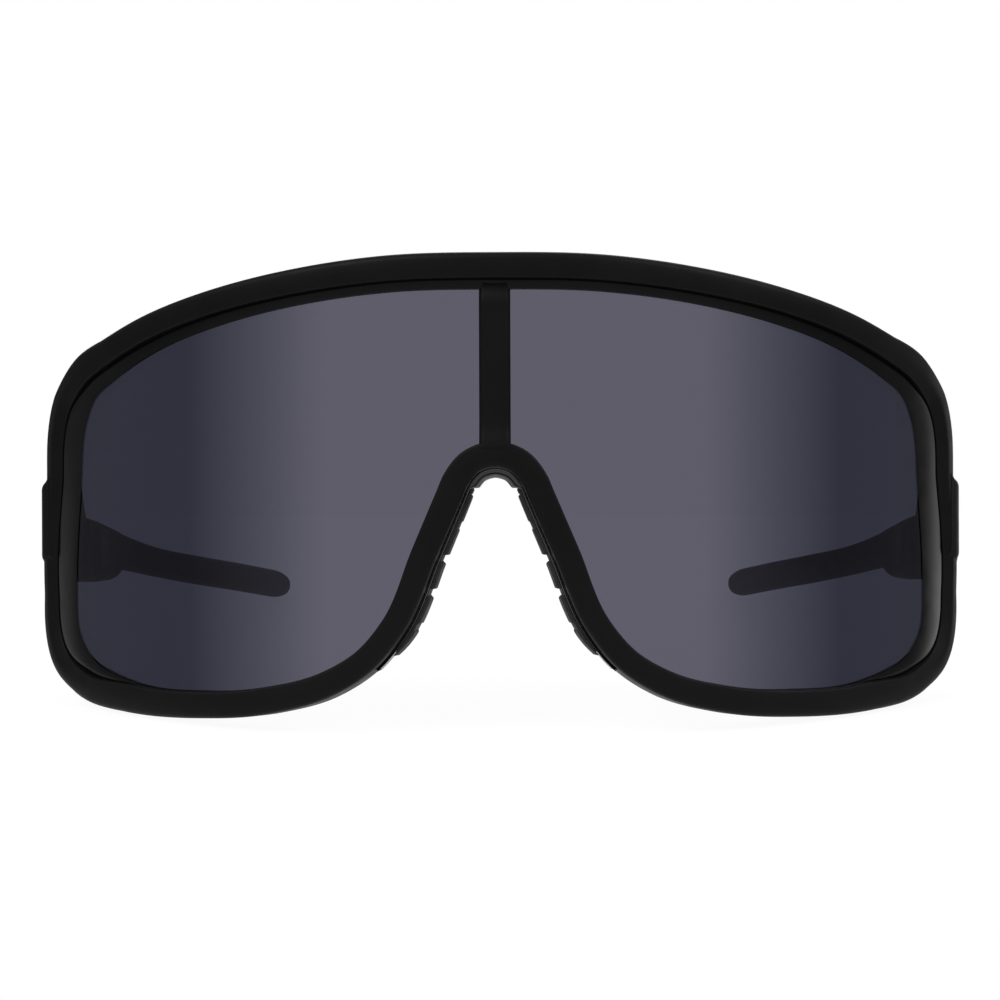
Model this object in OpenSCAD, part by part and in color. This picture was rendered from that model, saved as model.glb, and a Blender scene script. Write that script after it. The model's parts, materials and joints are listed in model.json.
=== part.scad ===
// Wraparound sport sunglasses: one shield lens in a full-rim front, with folding arms.
// The front is drawn flat, as arc u across and height z from the eye line, and is wrapped
// round an upright cylinder. The glasses stand open on their lower rims and arm tips.
// +X is the wearer's left, +Y runs back along the arms, +Z is up.

/* [Lens] */
// Radius of the lens's front face
lens_r = 88; // [82:1:100]
// Thickness of the lens
lens_t = 2; // [1.6:0.1:2.4]
// Arc from the middle of the lens opening to its side
lens_half_arc = 76.3; // [72:0.1:80]
// Height of the lens opening above the eye line
lens_top = 31.8; // [28:0.1:36]
// Depth of the lens opening below the eye line
lens_bottom = 29.3; // [27:0.1:33]
// How far the lens reaches over its seat
lens_lap = 1.1; // [0.8:0.1:1.2]
// Room round the lens in its seat
lens_gap = 0.1; // [0.05:0.05:0.2]

/* [Rim] */
// Width of the rim at the brow
rim_top_w = 5.5; // [4.8:0.1:7]
// Width of the rim at the sides
rim_side_w = 8.4; // [8.2:0.1:10]
// Width of the rim along the bottom
rim_bottom_w = 4.2; // [3.8:0.1:6]
// Width of the rim beside the nose
rim_nose_w = 4; // [3.6:0.1:4.8]
// Height of the rim's front face over the lens
rim_front = 1.9; // [1.5:0.1:2.6]
// Height of the rim's front face beside the wide part of the bezel
rim_side_front = 1.1; // [0.9:0.1:1.4]
// Depth of the rim behind the lens's front face
rim_back = 4.6; // [4:0.1:6]
// Rounding of the rim's outer front edge
rim_round = 1.4; // [0.8:0.1:1.6]
// Rounding of the rim's back edges
rim_back_round = 0.9; // [0.5:0.1:1.2]

/* [Bezel and bar] */
// Width of the bezel at the brow
bezel_top_w = 1.3; // [1.2:0.1:1.8]
// Width of the bezel at the sides
bezel_side_w = 5.3; // [4:0.1:5.6]
// Thickness of the bezel
bezel_t = 0.5; // [0.4:0.1:0.9]
// Width of the groove between bezel and rim
bezel_groove = 0.2; // [0.15:0.05:0.4]
// Width of the centre bar
bar_w = 4.7; // [3.5:0.1:6]
// Thickness of the centre bar
bar_t = 1.1; // [0.9:0.1:1.5]
// Bevel along the centre bar's edges
bar_bevel = 0.5; // [0.3:0.1:0.8]

/* [Nose] */
// Height of the lens opening's nose arch above the eye line
nose_top = 8.8; // [7:0.1:11]
// Radius of the nose arch on the lens opening
nose_arch_r = 8.4; // [7.8:0.1:9.5]
// Angle of the nose flanks from upright
nose_flank = 23; // [20:0.5:26]
// Depth below the eye line where the flanks turn outward
nose_flank_low = 18.2; // [17:0.1:19]
// Depth of the nose piece behind the rim
nose_depth = 7; // [5:0.1:9]
// Outward splay of the nose piece behind the rim
nose_splay = 18; // [10:1:24]
// Thickness of the nose piece's lip under the arch
lip_arch_t = 1.4; // [1:0.1:1.6]
// Thickness of the nose piece's legs
leg_t = 1.4; // [1:0.1:1.8]
// How far the nose piece's flange reaches behind the rim
flange_w = 2.6; // [2:0.1:3.4]
// Length of one rib on a nose pad
rib_len = 4.4; // [3.8:0.1:4.8]
// Distance from one rib to the next
rib_pitch = 5.55; // [5.2:0.05:5.7]
// Height of a rib over the pad's base
rib_h = 0.5; // [0.3:0.1:0.8]

/* [Hinges] */
// Width of an end piece, outside to inside
end_w = 7.2; // [6.8:0.1:8]
// Length of an end piece behind the rim
end_len = 9.3; // [8.6:0.1:11]
// How far an end piece stands proud of the rim's side
end_proud = 1.6; // [1:0.1:2]
// Height of an end piece's top above the eye line, at the rim
end_top = 3.4; // [2:0.1:4]
// Depth of an end piece's bottom below the eye line, at the rim
end_bottom = 10.2; // [9:0.1:11]
// Depth of the hinge's middle below the eye line
hinge_drop = 7.6; // [6.6:0.1:8.4]
// Height of the end piece and the arm where they meet
root_h = 10.4; // [10:0.1:12]
// Gap between end piece and arm when open
butt_gap = 0.25; // [0.2:0.05:0.4]
// Radius of the hinge knuckles
knuckle_r = 1.5; // [1.4:0.05:1.7]
// Height of one hinge knuckle
knuckle_h = 2; // [1.8:0.1:2.2]
// Gap between knuckles
knuckle_gap = 0.1; // [0.08:0.02:0.2]
// Radius of the hinge screw
pin_r = 0.7; // [0.6:0.05:0.8]
// Radial clearance of the hinge screw
pin_gap = 0.04; // [0.02:0.01:0.08]
// Thickness of the hinge leaves
leaf_t = 0.9; // [0.7:0.05:1]
// Length of the hinge leaves
leaf_len = 6.2; // [5.8:0.1:6.8]
// Radius of the hinge screw's head
head_r = 1.3; // [1.1:0.05:1.5]
// Height of the hinge screw's head
head_h = 0.7; // [0.5:0.05:0.9]
// Radius of the leaf screws
leaf_screw_r = 0.6; // [0.5:0.05:0.7]
// Length of the leaf screws
leaf_screw_len = 4; // [3:0.1:4.4]

/* [Arms] */
// Length of an arm behind the hinge
arm_len = 103; // [90:1:120]
// How far the arm's tip stands inside its root
arm_inset = 25.2; // [18:0.1:30]
// How far the arm's middle lies below the hinge's, behind the heel
arm_fall = 0.7; // [0.4:0.1:1.5]
// How far the arm's tip lies below its start
arm_drop = 7.7; // [4:0.1:10]
// Height of the arm behind its heel
arm_h = 5.1; // [4.6:0.1:6]
// Height of the arm at its tip
arm_tip_h = 5.2; // [4.6:0.1:6]
// Thickness of the arm behind its heel
arm_t = 4.4; // [4:0.1:5]
// Thickness of the arm at its tip
arm_tip_t = 3.5; // [3.2:0.1:4.2]
// Length of the deep heel behind the hinge
heel_len = 16.5; // [15:0.1:20]
// Length of the soft tip sleeve
sleeve_len = 37; // [30:1:44]
// Radius of the tongue that carries the sleeve
tongue_r = 0.9; // [0.7:0.05:1.1]
// Length of the tongue inside the sleeve
tongue_len = 16; // [10:1:20]

/* [Hidden] */
$fn = 48;

// Small clearances and roundings that go with the sizes above
seat_gap = 0.05;
edge_round = 0.4;
cut = 1;
steps = 4;
nudge = 0.02;
seat_share = 0.6;
lens_columns = 56;
column_crowd = 0.85;

function mix(a, b, share) = a + (b - a) * share;

// Smooth curve through rows of values, whose first two columns set the distance along it
function chord(a, b) = norm([b[0] - a[0], b[1] - a[1]]);
function near(i, n, closed) = closed ? (i + n) % n : min(max(i, 0), n - 1);
function heading(rows, i, closed) =
    let (
        n = len(rows),
        a = rows[near(i - 1, n, closed)],
        b = rows[i],
        c = rows[near(i + 1, n, closed)],
        ab = chord(a, b),
        bc = chord(b, c)
    )
    ab == 0 ? (c - b) / bc
    : bc == 0 ? (b - a) / ab
    : ((c - b) * (ab / bc) + (b - a) * (bc / ab)) / (ab + bc);
function along(rows, i, t, closed) =
    let (
        j = near(i + 1, len(rows), closed),
        d = chord(rows[i], rows[j])
    )
    rows[i] * (2 * t ^ 3 - 3 * t ^ 2 + 1)
    + heading(rows, i, closed) * (d * (t ^ 3 - 2 * t ^ 2 + t))
    + rows[j] * (3 * t ^ 2 - 2 * t ^ 3)
    + heading(rows, j, closed) * (d * (t ^ 3 - t ^ 2));
function smooth(rows, closed) = concat(
    [for (i = [0 : len(rows) - (closed ? 1 : 2)], k = [0 : steps - 1]) along(rows, i, k / steps, closed)],
    closed ? [] : [rows[len(rows) - 1]]
);

// Solid skin over rings of points
module skin(rings, closed = false) {
    n = len(rings);
    m = len(rings[0]);
    sides = [
        for (i = [0 : n - (closed ? 1 : 2)], j = [0 : m - 1])
            let (
                a = i * m + j,
                b = i * m + (j + 1) % m,
                c = (i + 1) % n * m + j,
                d = (i + 1) % n * m + (j + 1) % m
            )
            each [[a, b, d], [a, d, c]]
    ];
    caps = closed ? [] : [
        [for (j = [m - 1 : -1 : 0]) j],
        [for (j = [0 : m - 1]) (n - 1) * m + j]
    ];
    polyhedron([for (r = rings, p = r) p], concat(sides, caps));
}

// Point on the wrapped front: arc u, height z and height n over the lens's front face
function wrap(u, z, n) =
    let (a = u / lens_r * 180 / PI)
    [(lens_r + n) * sin(a), lens_r - (lens_r + n) * cos(a), z];

// Lens opening, right half from brow to nose. Each row has its share of the half arc and of
// the height, then how far the rim and the bezel have grown towards their side widths.
brow_rows = [
    [0, 1, 0, 0],
    [0.21, 0.99, 0, 0],
    [0.406, 0.934, 0, 0.02],
    [0.588, 0.843, 0.05, 0.08],
    [0.743, 0.733, 0.15, 0.12],
    [0.857, 0.607, 0.465, 0.27],
    [0.936, 0.494, 0.96, 0.46],
    [0.962, 0.393, 1.56, 0.86],
    [0.984, 0.063, 1.59, 0.96],
];
cheek_rows = [
    [1, -0.478, 1.29, 1],
    [0.991, -0.7, 1.24, 0.88],
    [0.944, -0.843, 0.635, 0.45],
    [0.818, -0.963, 0.15, 0.05],
    [0.638, -1, 0, 0],
    [0.472, -0.969, 0, 0],
    [0.347, -0.887, -0.05, 0],
    [0.275, -0.778, -0.1, 0],
];
brow = [
    for (r = brow_rows) [
        r[0] * lens_half_arc,
        r[1] * lens_top,
        mix(rim_top_w, rim_side_w, r[2]),
        mix(bezel_top_w, bezel_side_w, r[3])
    ]
];
cheek = [
    for (r = cheek_rows) [
        r[0] * lens_half_arc,
        r[1] * lens_bottom,
        mix(rim_bottom_w, rim_side_w, r[2]),
        bezel_side_w * r[3]
    ]
];
arch_z = nose_top - nose_arch_r;
arch_end_z = arch_z + nose_arch_r * sin(nose_flank);
// Point on a flank, where the rim has a share of its width beside the nose
function flank(z, share) = [
    nose_arch_r * cos(nose_flank) + (arch_end_z - z) * tan(nose_flank), z, rim_nose_w * share, 0
];
function arch(a) = [nose_arch_r * cos(a), arch_z + nose_arch_r * sin(a), rim_nose_w, 0];
arch_ease = nose_arch_r / 4;
nose = [
    flank(-nose_flank_low, 0.93),
    flank((arch_end_z - nose_flank_low) / 2, 0.98),
    flank(arch_end_z - arch_ease, 1),
    flank(arch_end_z, 1),
    arch((nose_flank + 90) / 2),
    [0, nose_top, rim_nose_w, 0],
];
half = concat(brow, cheek, nose);
last = len(half) - 1;
loop = concat(half, [for (i = [last - 1 : -1 : 1]) [-half[i][0], half[i][1], half[i][2], half[i][3]]]);

// Stations round the lens opening, with the outward direction at each
edge = smooth(loop, true);
count = len(edge);
function out_of(a, b) = [a[1] - b[1], b[0] - a[0]] / chord(a, b);
function out_at(i, t) = out_of(along(loop, i, t - nudge, true), along(loop, i, t + nudge, true));
out = [for (k = [0 : count - 1]) out_at(floor(k / steps), k % steps / steps)];
function rim_w(i) = edge[i][2];
function bezel_w(i) = max(edge[i][3], 0);
function flat(i, w) = [edge[i][0], edge[i][1]] + out[i] * w;
// Where the bezel is wide the lens runs on behind it, and its seat moves out with it
function seat_w(i) = max(0, bezel_w(i) - bezel_top_w) * seat_share;
// The rim's inner back edge is drawn out as far as a look from ahead through the lens leans out
function back_w(i) =
    let (
        side = sign(edge[i][0]),
        lean = tan(abs(edge[i][0]) / lens_r * 180 / PI) * max(0, out[i][0] * side)
    )
    max(2 * seat_w(i), min(rim_back * lean, rim_w(i) - 2.2 * rim_back_round));
function at(i, w, n) = let (p = flat(i, w)) wrap(p[0], p[1], n);

// Station numbers of the bezel's end, the nose piece's end and the top of the nose arch
bezel_end = steps * (len(brow) + 3);
nose_end = steps * (len(brow) + len(cheek) - 1);
arch_top = steps * last;

// Rim section at a station: distance from the lens opening, height over the lens. Beside a wide
// bezel the rim slopes down, over a share of its front face, as low as the bezel.
slope_share = 0.45;
function rim_section(i) =
    let (
        w = rim_w(i),
        lip = bezel_w(i) > 0 ? bezel_w(i) + bezel_groove * min(1, bezel_w(i) / bezel_top_w) : 0,
        slope = max(0, min(1, (bezel_w(i) - bezel_top_w) / (bezel_side_w - bezel_top_w))),
        front = mix(rim_front, rim_side_front, slope),
        fall = mix(edge_round, front - bezel_t, slope),
        crest = lip + mix(edge_round, (w - lip) * slope_share, slope),
        soft = min(rim_round, (w - lip) / 2),
        ledge = seat_w(i),
        seat = ledge + lens_lap + lens_gap,
        floor_n = -lens_t - lens_gap,
        bend = soft * (1 - sqrt(0.5))
    )
    [
        [ledge, floor_n],
        [seat, floor_n],
        [seat, seat_gap],
        [lip, seat_gap],
        [lip, front - fall],
        [crest, front],
        [w - soft, front],
        [w - bend, front - bend],
        [w, front - soft],
        [w, rim_back_round - rim_back],
        [w - rim_back_round, -rim_back],
        [back_w(i) + rim_back_round, -rim_back],
        [back_w(i), rim_back_round - rim_back],
    ];
rim_rings = [for (i = [0 : count - 1]) [for (s = rim_section(i)) at(i, s[0], s[1])]];

// End pieces and hinges: where the rim's side lies, and the plane where the arms meet it
side_a = (lens_half_arc + rim_side_w) / lens_r * 180 / PI;
side_y = lens_r * (1 - cos(side_a));
end_out_x = lens_r * sin(side_a) + end_proud;
end_in_x = end_out_x - end_w;
butt_y = side_y + end_len;
hinge_z = -hinge_drop;
axis_x = end_in_x + leaf_t - knuckle_r;
barrel_h = 3 * knuckle_h + 2 * knuckle_gap;
notch_gap = 0.35;
notch_r = knuckle_r + notch_gap;
head_gap = 0.3;
pocket_h = barrel_h + 2 * seat_gap;
root_round = 1.6;
end_z = [-end_bottom, end_top];
root_z = [hinge_z - root_h / 2, hinge_z + root_h / 2];

// Upright ring with rounded corners at one depth
function rounded(x, z, r, y) = [
    for (c = [[1, 1, 0], [0, 1, 90], [0, 0, 180], [1, 0, 270]], k = [0 : 3])
        let (a = c[2] + 30 * k)
        [
            x[c[0]] + (c[0] == 1 ? -r : r) + r * cos(a),
            y,
            z[c[1]] + (c[1] == 1 ? -r : r) + r * sin(a)
        ]
];
// End piece, rim to hinge: distance behind the rim's side as a share of its length, how far its
// inner and outer face are drawn in as shares of its width, and how far its height has turned
// from what it is at the rim to what it is at the hinge
end_rows = [
    [-0.19, 0.3, 0.2, -0.3],
    [-0.05, 0.1, 0.04, 0],
    [0.11, 0, 0, 0],
    [0.67, 0, 0, 0.85],
    [1 - butt_gap / 2 / end_len, 0, 0, 1],
];
end_rings = [
    for (r = end_rows)
        rounded(
            [end_in_x + end_w * r[1], end_out_x - end_w * r[2]],
            mix(end_z, root_z, r[3]),
            root_round,
            side_y + end_len * r[0]
        )
];

// Arm along its length: distance from the butt, inset of its inner face, thickness,
// bottom and top. The heel is deep at the hinge and steps up behind it.
arm_mid = hinge_z - arm_fall;
arm_angle = atan(arm_inset / arm_len);
function inset(d) = arm_inset * d / arm_len;
function heel_row(d, taper, low, high) = [
    d,
    inset(d),
    mix(end_w, arm_t, taper),
    root_z[0] - root_h * low,
    root_z[1] - root_h * high
];
function run_row(d, taper, fall, swell) =
    let (
        mid = arm_mid - arm_drop * fall,
        half_h = mix(arm_h, arm_tip_h, taper) * (1 + swell) / 2
    )
    [d, inset(d), mix(arm_t, arm_tip_t, taper), mid - half_h, mid + half_h];
// Heel rows: share of its length and of its taper, then how far its bottom and top have dropped
heel_rows = [
    [0.35, 0.15, 0.048, 0.06],
    [0.7, 0.5, 0.048, 0.141],
    [0.86, 0.75, 0.019, 0.2],
];
// Rows behind the heel: share of the run, of the taper and of the drop, and how much higher the arm
// still is there
run_rows = [
    [0, 0, 0, 0.23],
    [0.07, 0.05, 0.1, 0.1],
    [0.2, 0.2, 0.277, 0],
    [0.44, 0.5, 0.52, 0],
    [0.7, 0.75, 0.75, 0],
];
tip_round = arm_tip_h * 0.6;
arm_run = arm_len - heel_len;
arm_rows = concat(
    [heel_row(butt_gap / 2, 0, 0, 0)],
    [for (r = heel_rows) heel_row(heel_len * r[0], r[1], r[2], r[3])],
    [for (r = run_rows) run_row(heel_len + arm_run * r[0], r[1], r[2], r[3])],
    [run_row(arm_len - tip_round, 1, 1, 0)]
);
arm_line = smooth(arm_rows, false);
sleeve_d = arm_len - sleeve_len;
function arm_at(d) = [for (k = [0 : 4]) lookup(d, [for (r = arm_line) [r[0], r[k]]])];
function arm_x(r) = [end_in_x - r[1], end_in_x - r[1] + r[2]];
arm_round = 0.95;
function arm_ring(r, trim = 0) = rounded(
    arm_x(r) + [trim, -trim],
    [r[3], r[4]] + [trim, -trim],
    min(root_round + end_w - r[2], (r[2] / 2 - trim) * arm_round),
    butt_y + r[0]
);
function arm_centre(d) =
    let (r = arm_at(d), x = arm_x(r))
    [(x[0] + x[1]) / 2, butt_y + d, (r[3] + r[4]) / 2];
tip_row = arm_rows[len(arm_rows) - 1];
tip_rings = [
    for (a = [30, 60, 80])
        let (trim = arm_tip_t / 2 * (1 - cos(a)))
        arm_ring(tip_row + [tip_round * sin(a), inset(tip_round * sin(a)), 0, 0, 0], trim)
];

// Standing pose: the lower rims and the arm tips touch one level surface
function drop(p, a) = p[2] * cos(a) - p[1] * sin(a);
function reach(p, a) = p[1] * cos(a) + p[2] * sin(a);
function lean(p, q) = atan2(q[2] - p[2], q[1] - p[1]);
function lowest(points, a) =
    let (low = min([for (p = points) drop(p, a)]))
    [for (p = points) if (drop(p, a) == low) p][0];
rim_points = [for (r = rim_rings, p = r) p];
sole = [0, butt_y + tip_row[0], tip_row[3]];
first_tilt = lean(lowest(rim_points, 0), sole);
rest_tilt = lean(lowest(rim_points, first_tilt), sole);
base_z = drop(lowest(rim_points, rest_tilt), rest_tilt);
front_y = min([for (p = rim_points) reach(p, rest_tilt)]);
back_y = max([for (r = tip_rings, p = r) reach(p, rest_tilt)]);
mid_y = (front_y + back_y) / 2;

module stand() {
    translate([0, -mid_y, -base_z])
        rotate([-rest_tilt, 0, 0])
            children();
}

// Round shape along +X from a point beside the hinge
module crosswise(x, y, z, r, h) {
    translate([x, y, z])
        rotate([0, 90, 0])
            cylinder(r = r, h = h);
}

// Round shape along +Z
module upright(x, y, z, r, h) {
    translate([x, y, z])
        cylinder(r = r, h = h);
}

// Hinge parts of an arm lie along its inner face, which leans in from the hinge
module with_arm() {
    translate([axis_x, butt_y, 0])
        rotate([0, 0, arm_angle])
            translate([-axis_x, -butt_y, 0])
                children();
}

// Leaf screws sit one above the other, back from the hinge by half a leaf
leaf_gap = 0.1;
leaf_start = notch_r + leaf_gap;
leaf_screw_y = leaf_start + leaf_len / 2;
leaf_screw_z = barrel_h / 4;
leaf_head_r = 1.1;
leaf_head_h = 0.45;

// Room for one leaf, its knuckles and its screws, on the side of the hinge given by way
module hinge_room(way) {
    y0 = way > 0 ? butt_y - cut : butt_y - leaf_start - leaf_len - seat_gap;
    y1 = way > 0 ? butt_y + leaf_start + leaf_len + seat_gap : butt_y + cut;
    translate([end_in_x - cut, y0, hinge_z - pocket_h / 2])
        cube([cut + leaf_t + seat_gap, y1 - y0, pocket_h]);
    upright(axis_x, butt_y, hinge_z - pocket_h / 2, notch_r, pocket_h);
    upright(axis_x, butt_y, hinge_z, head_r + head_gap, pocket_h / 2 + head_h + head_gap);
    for (s = [-1, 1])
        crosswise(
            end_in_x, butt_y + way * leaf_screw_y, hinge_z + s * leaf_screw_z,
            leaf_screw_r + pin_gap, leaf_t + leaf_screw_len + seat_gap
        );
}

// Leaf with its plate to one side of the hinge and knuckles at the given heights
module leaf(way, levels) {
    y0 = way > 0 ? butt_y + leaf_start : butt_y - leaf_start - leaf_len;
    difference() {
        union() {
            translate([end_in_x, y0, hinge_z - barrel_h / 2])
                cube([leaf_t, leaf_len, barrel_h]);
            for (k = levels) {
                z = hinge_z - barrel_h / 2 + k * (knuckle_h + knuckle_gap);
                upright(axis_x, butt_y, z, knuckle_r, knuckle_h);
                translate([end_in_x, way > 0 ? butt_y : butt_y - leaf_start, z])
                    cube([leaf_t, leaf_start, knuckle_h]);
            }
        }
        upright(axis_x, butt_y, hinge_z - barrel_h, pin_r + pin_gap, 2 * barrel_h);
        for (s = [-1, 1])
            crosswise(
                end_in_x - cut, butt_y + way * leaf_screw_y, hinge_z + s * leaf_screw_z,
                leaf_screw_r + pin_gap, leaf_t + 2 * cut
            );
    }
}

module leaf_screws(way) {
    for (s = [-1, 1])
        translate([end_in_x, butt_y + way * leaf_screw_y, hinge_z + s * leaf_screw_z])
            rotate([0, 90, 0]) {
                cylinder(r = leaf_screw_r, h = leaf_t + leaf_screw_len);
                translate([0, 0, -leaf_head_h])
                    cylinder(r = leaf_head_r, h = leaf_head_h - seat_gap / 2);
                translate([0, 0, -leaf_head_h])
                    cylinder(r = leaf_screw_r, h = leaf_head_h);
            }
}

module hinge_screw() {
    upright(axis_x, butt_y, hinge_z - barrel_h / 2, pin_r, barrel_h + seat_gap);
    upright(axis_x, butt_y, hinge_z + barrel_h / 2 + seat_gap, head_r, head_h);
}

// Round tongue from inside the arm into the sleeve, or the room for it
module tongue(room) {
    from = arm_centre(sleeve_d - tongue_len / 2);
    run = arm_centre(sleeve_d + tongue_len) - from;
    translate(from)
        rotate([0, acos(run[2] / norm(run)), atan2(run[1], run[0])])
            cylinder(r = tongue_r + room, h = norm(run) + room);
}

module arm() {
    difference() {
        union() {
            skin(concat(
                [for (r = arm_line) if (r[0] < sleeve_d - cut) arm_ring(r)],
                [arm_ring(arm_at(sleeve_d))]
            ));
            tongue(0);
        }
        with_arm() hinge_room(1);
    }
}

module sleeve() {
    difference() {
        skin(concat(
            [arm_ring(arm_at(sleeve_d + seat_gap))],
            [for (r = arm_line) if (r[0] > sleeve_d + cut) arm_ring(r)],
            tip_rings
        ));
        tongue(seat_gap);
    }
}

// Nose piece: lip inside the rim, thick along the arch and thin under the pads, then splayed legs
// behind the rim
lip_gap = 0.06;
lip_t = 0.3;
lip_front = 0.9;
flange_t = 1.6;
leg_back = rim_back + nose_depth;
splay_run = tan(nose_splay);
function lip_at(i) =
    let (past_flank = min(i, count - i) - (arch_top - 2 * steps))
    mix(lip_t, lip_arch_t, max(0, min(1, past_flank)));
function carrier_section(i) =
    let (
        face = lip_gap + lip_at(i),
        kink = rim_back + seat_gap,
        swing = nose_depth * splay_run
    )
    [
        [face, lip_front],
        [face, kink],
        [face - swing, leg_back],
        [face - swing - leg_t, leg_back],
        [-flange_w, kink + flange_t],
        [-flange_w, kink],
        [lip_gap, kink],
        [lip_gap, lip_front],
    ];

// Pads: a thin base with ribs that run back along the nose, spaced down the flank
pad_gap = 0.07;
pad_base = 0.15;
pad_front = 1.1;
pad_short = 1.2;
pad_seat = lip_gap + lip_t + pad_gap;
pad_back = rim_back + nose_depth - pad_short;
rib_first = 0.7;
rib_ramp = 0.3;
// Depth of the gap after each rib as a share of the rib's height, and how far the last rib falls off
rib_gaps = [0.35, 1, 1, 0.45];
rib_fall = 0.7;
rib_count = len(rib_gaps) + 1;
// Place and outward direction at knot c of the half outline, which may lie between two knots
function flank_at(c) = let (i = floor(c)) [along(loop, i, c - i, true), out_at(i, c - i)];
// Distance down the pad's seat from the end of the arch to knot c
arch_end = last - 2;
function pad_line(c) = let (f = flank_at(c)) [f[0][0], f[0][1]] + f[1] * (f[0][2] + pad_seat);
function down_to(c) =
    c >= arch_end ? 0 : down_to(c + 1 / steps) + chord(pad_line(c), pad_line(c + 1 / steps));
flank_knots = [for (c = [arch_end : -1 / steps : arch_end - 4]) [down_to(c), c]];
function pad_ring(s, rise) =
    let (
        f = flank_at(lookup(s, flank_knots)),
        top = pad_seat + pad_base + rise,
        kink = rim_back + seat_gap,
        swing = (pad_back - kink) * splay_run,
        section = [
            [pad_seat, pad_front],
            [pad_seat, kink],
            [pad_seat - swing, pad_back],
            [top - swing, pad_back],
            [top, kink],
            [top, pad_front]
        ]
    )
    [
        for (q = section)
            let (p = [f[0][0], f[0][1]] + f[1] * (f[0][2] + q[0]))
            wrap(p[0], p[1], -q[1])
    ];
function gap_rise(k) = k < 0 || k == rib_count - 1 ? 0 : rib_h * (1 - rib_gaps[k]);
function rib_rise(k, t) = k < rib_count - 1 ? rib_h : rib_h * (1 - rib_fall * t * t);
pad_rings = [
    for (k = [0 : rib_count - 1])
        let (
            s = rib_first + k * rib_pitch,
            e = s + rib_len
        )
        each concat(
            [pad_ring(s, gap_rise(k - 1))],
            [for (t = [0 : 1 / 3 : 1]) pad_ring(mix(s + rib_ramp, e - rib_ramp, t), rib_rise(k, t))],
            [pad_ring(e, gap_rise(k))]
        )
];

// Lens columns: upper and lower edge at each arc, both measured on the lapped outline
lens_edge = [for (i = [0 : arch_top]) flat(i, seat_w(i) + lens_lap)];
lens_tip_u = max([for (p = lens_edge) p[0]]);
lens_tip = [for (i = [0 : arch_top]) if (lens_edge[i][0] == lens_tip_u) i][0];
lens_upper = [for (i = [0 : lens_tip]) lens_edge[i]];
lens_lower = [for (i = [arch_top : -1 : lens_tip]) lens_edge[i]];
// Columns crowd together at the nose and at the sides, where the outline is steep
function column_u(j) =
    let (x = abs(j) / lens_columns)
    (j < 0 ? -1 : 1) * (lens_tip_u - seat_gap) * mix(x, x * x * (3 - 2 * x), column_crowd);
lens_rings = [
    for (j = [-lens_columns : lens_columns])
        let (
            u = column_u(j),
            high = lookup(abs(u), lens_upper),
            low = lookup(abs(u), lens_lower)
        )
        [wrap(u, low, 0), wrap(u, high, 0), wrap(u, high, -lens_t), wrap(u, low, -lens_t)]
];

// Bezel section: it stands up beside the lens and falls off to the groove, in shares of its width
// and thickness
bezel_dome = [[0, 0.4], [0.04, 0.88], [0.1, 1], [0.4, 0.98], [0.7, 0.94], [1, 0.86]];
function bezel_section(i) =
    let (w = bezel_w(i), foot = 2 * seat_gap)
    concat([[0, foot]], [for (d = bezel_dome) [w * d[0], bezel_t * d[1]]], [[w, foot]]);
bezel_rings = [
    for (k = [-bezel_end : bezel_end])
        let (i = (k + count) % count)
        [for (s = bezel_section(i)) at(i, s[0], s[1])]
];

module front_frame() {
    color("#1b1b1e")
        stand()
            difference() {
                union() {
                    skin(rim_rings, true);
                    skin(end_rings);
                    mirror([1, 0, 0]) skin(end_rings);
                }
                hinge_room(-1);
                mirror([1, 0, 0]) hinge_room(-1);
            }
}

module shield_lens() {
    color("#4d4c57", 0.85) stand() skin(lens_rings);
}

module lens_bezel() {
    color("#222225") stand() skin(bezel_rings);
}

module centre_bar() {
    half_w = bar_w / 2;
    foot = -seat_gap;
    color("#191919")
        stand()
            translate([0, 0, nose_top + seat_gap])
                linear_extrude(height = lens_top - nose_top - 2 * seat_gap)
                    polygon([
                        [-half_w, foot], [-half_w, bar_bevel - bar_t], [bar_bevel - half_w, -bar_t],
                        [half_w - bar_bevel, -bar_t], [half_w, bar_bevel - bar_t], [half_w, foot]
                    ]);
}

module nose_carrier() {
    color("#141416")
        stand()
            skin([
                for (i = [nose_end : count - nose_end])
                    [for (s = carrier_section(i)) at(i, rim_w(i) + s[0], -s[1])]
            ]);
}

module nose_pad_left() { color("#262629") stand() skin(pad_rings); }
module nose_pad_right() { color("#262629") stand() mirror([1, 0, 0]) skin(pad_rings); }

module hinge_front_leaf_left() { color("#303032") stand() leaf(-1, [0, 2]); }
module hinge_front_leaf_right() { color("#303032") stand() mirror([1, 0, 0]) leaf(-1, [0, 2]); }
module front_leaf_screws_left() { color("#3a3a3c") stand() leaf_screws(-1); }
module front_leaf_screws_right() { color("#3a3a3c") stand() mirror([1, 0, 0]) leaf_screws(-1); }
module hinge_screw_left() { color("#3a3a3c") stand() hinge_screw(); }
module hinge_screw_right() { color("#3a3a3c") stand() mirror([1, 0, 0]) hinge_screw(); }

module temple_arm_left() { color("#1b1b1e") stand() arm(); }
module temple_arm_right() { color("#1b1b1e") stand() mirror([1, 0, 0]) arm(); }
module hinge_temple_leaf_left() { color("#303032") stand() with_arm() leaf(1, [1]); }
module hinge_temple_leaf_right() { color("#303032") stand() mirror([1, 0, 0]) with_arm() leaf(1, [1]); }
module temple_leaf_screws_left() { color("#3a3a3c") stand() with_arm() leaf_screws(1); }
module temple_leaf_screws_right() { color("#3a3a3c") stand() mirror([1, 0, 0]) with_arm() leaf_screws(1); }
module temple_tip_left() { color("#232326") stand() sleeve(); }
module temple_tip_right() { color("#232326") stand() mirror([1, 0, 0]) sleeve(); }

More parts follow.
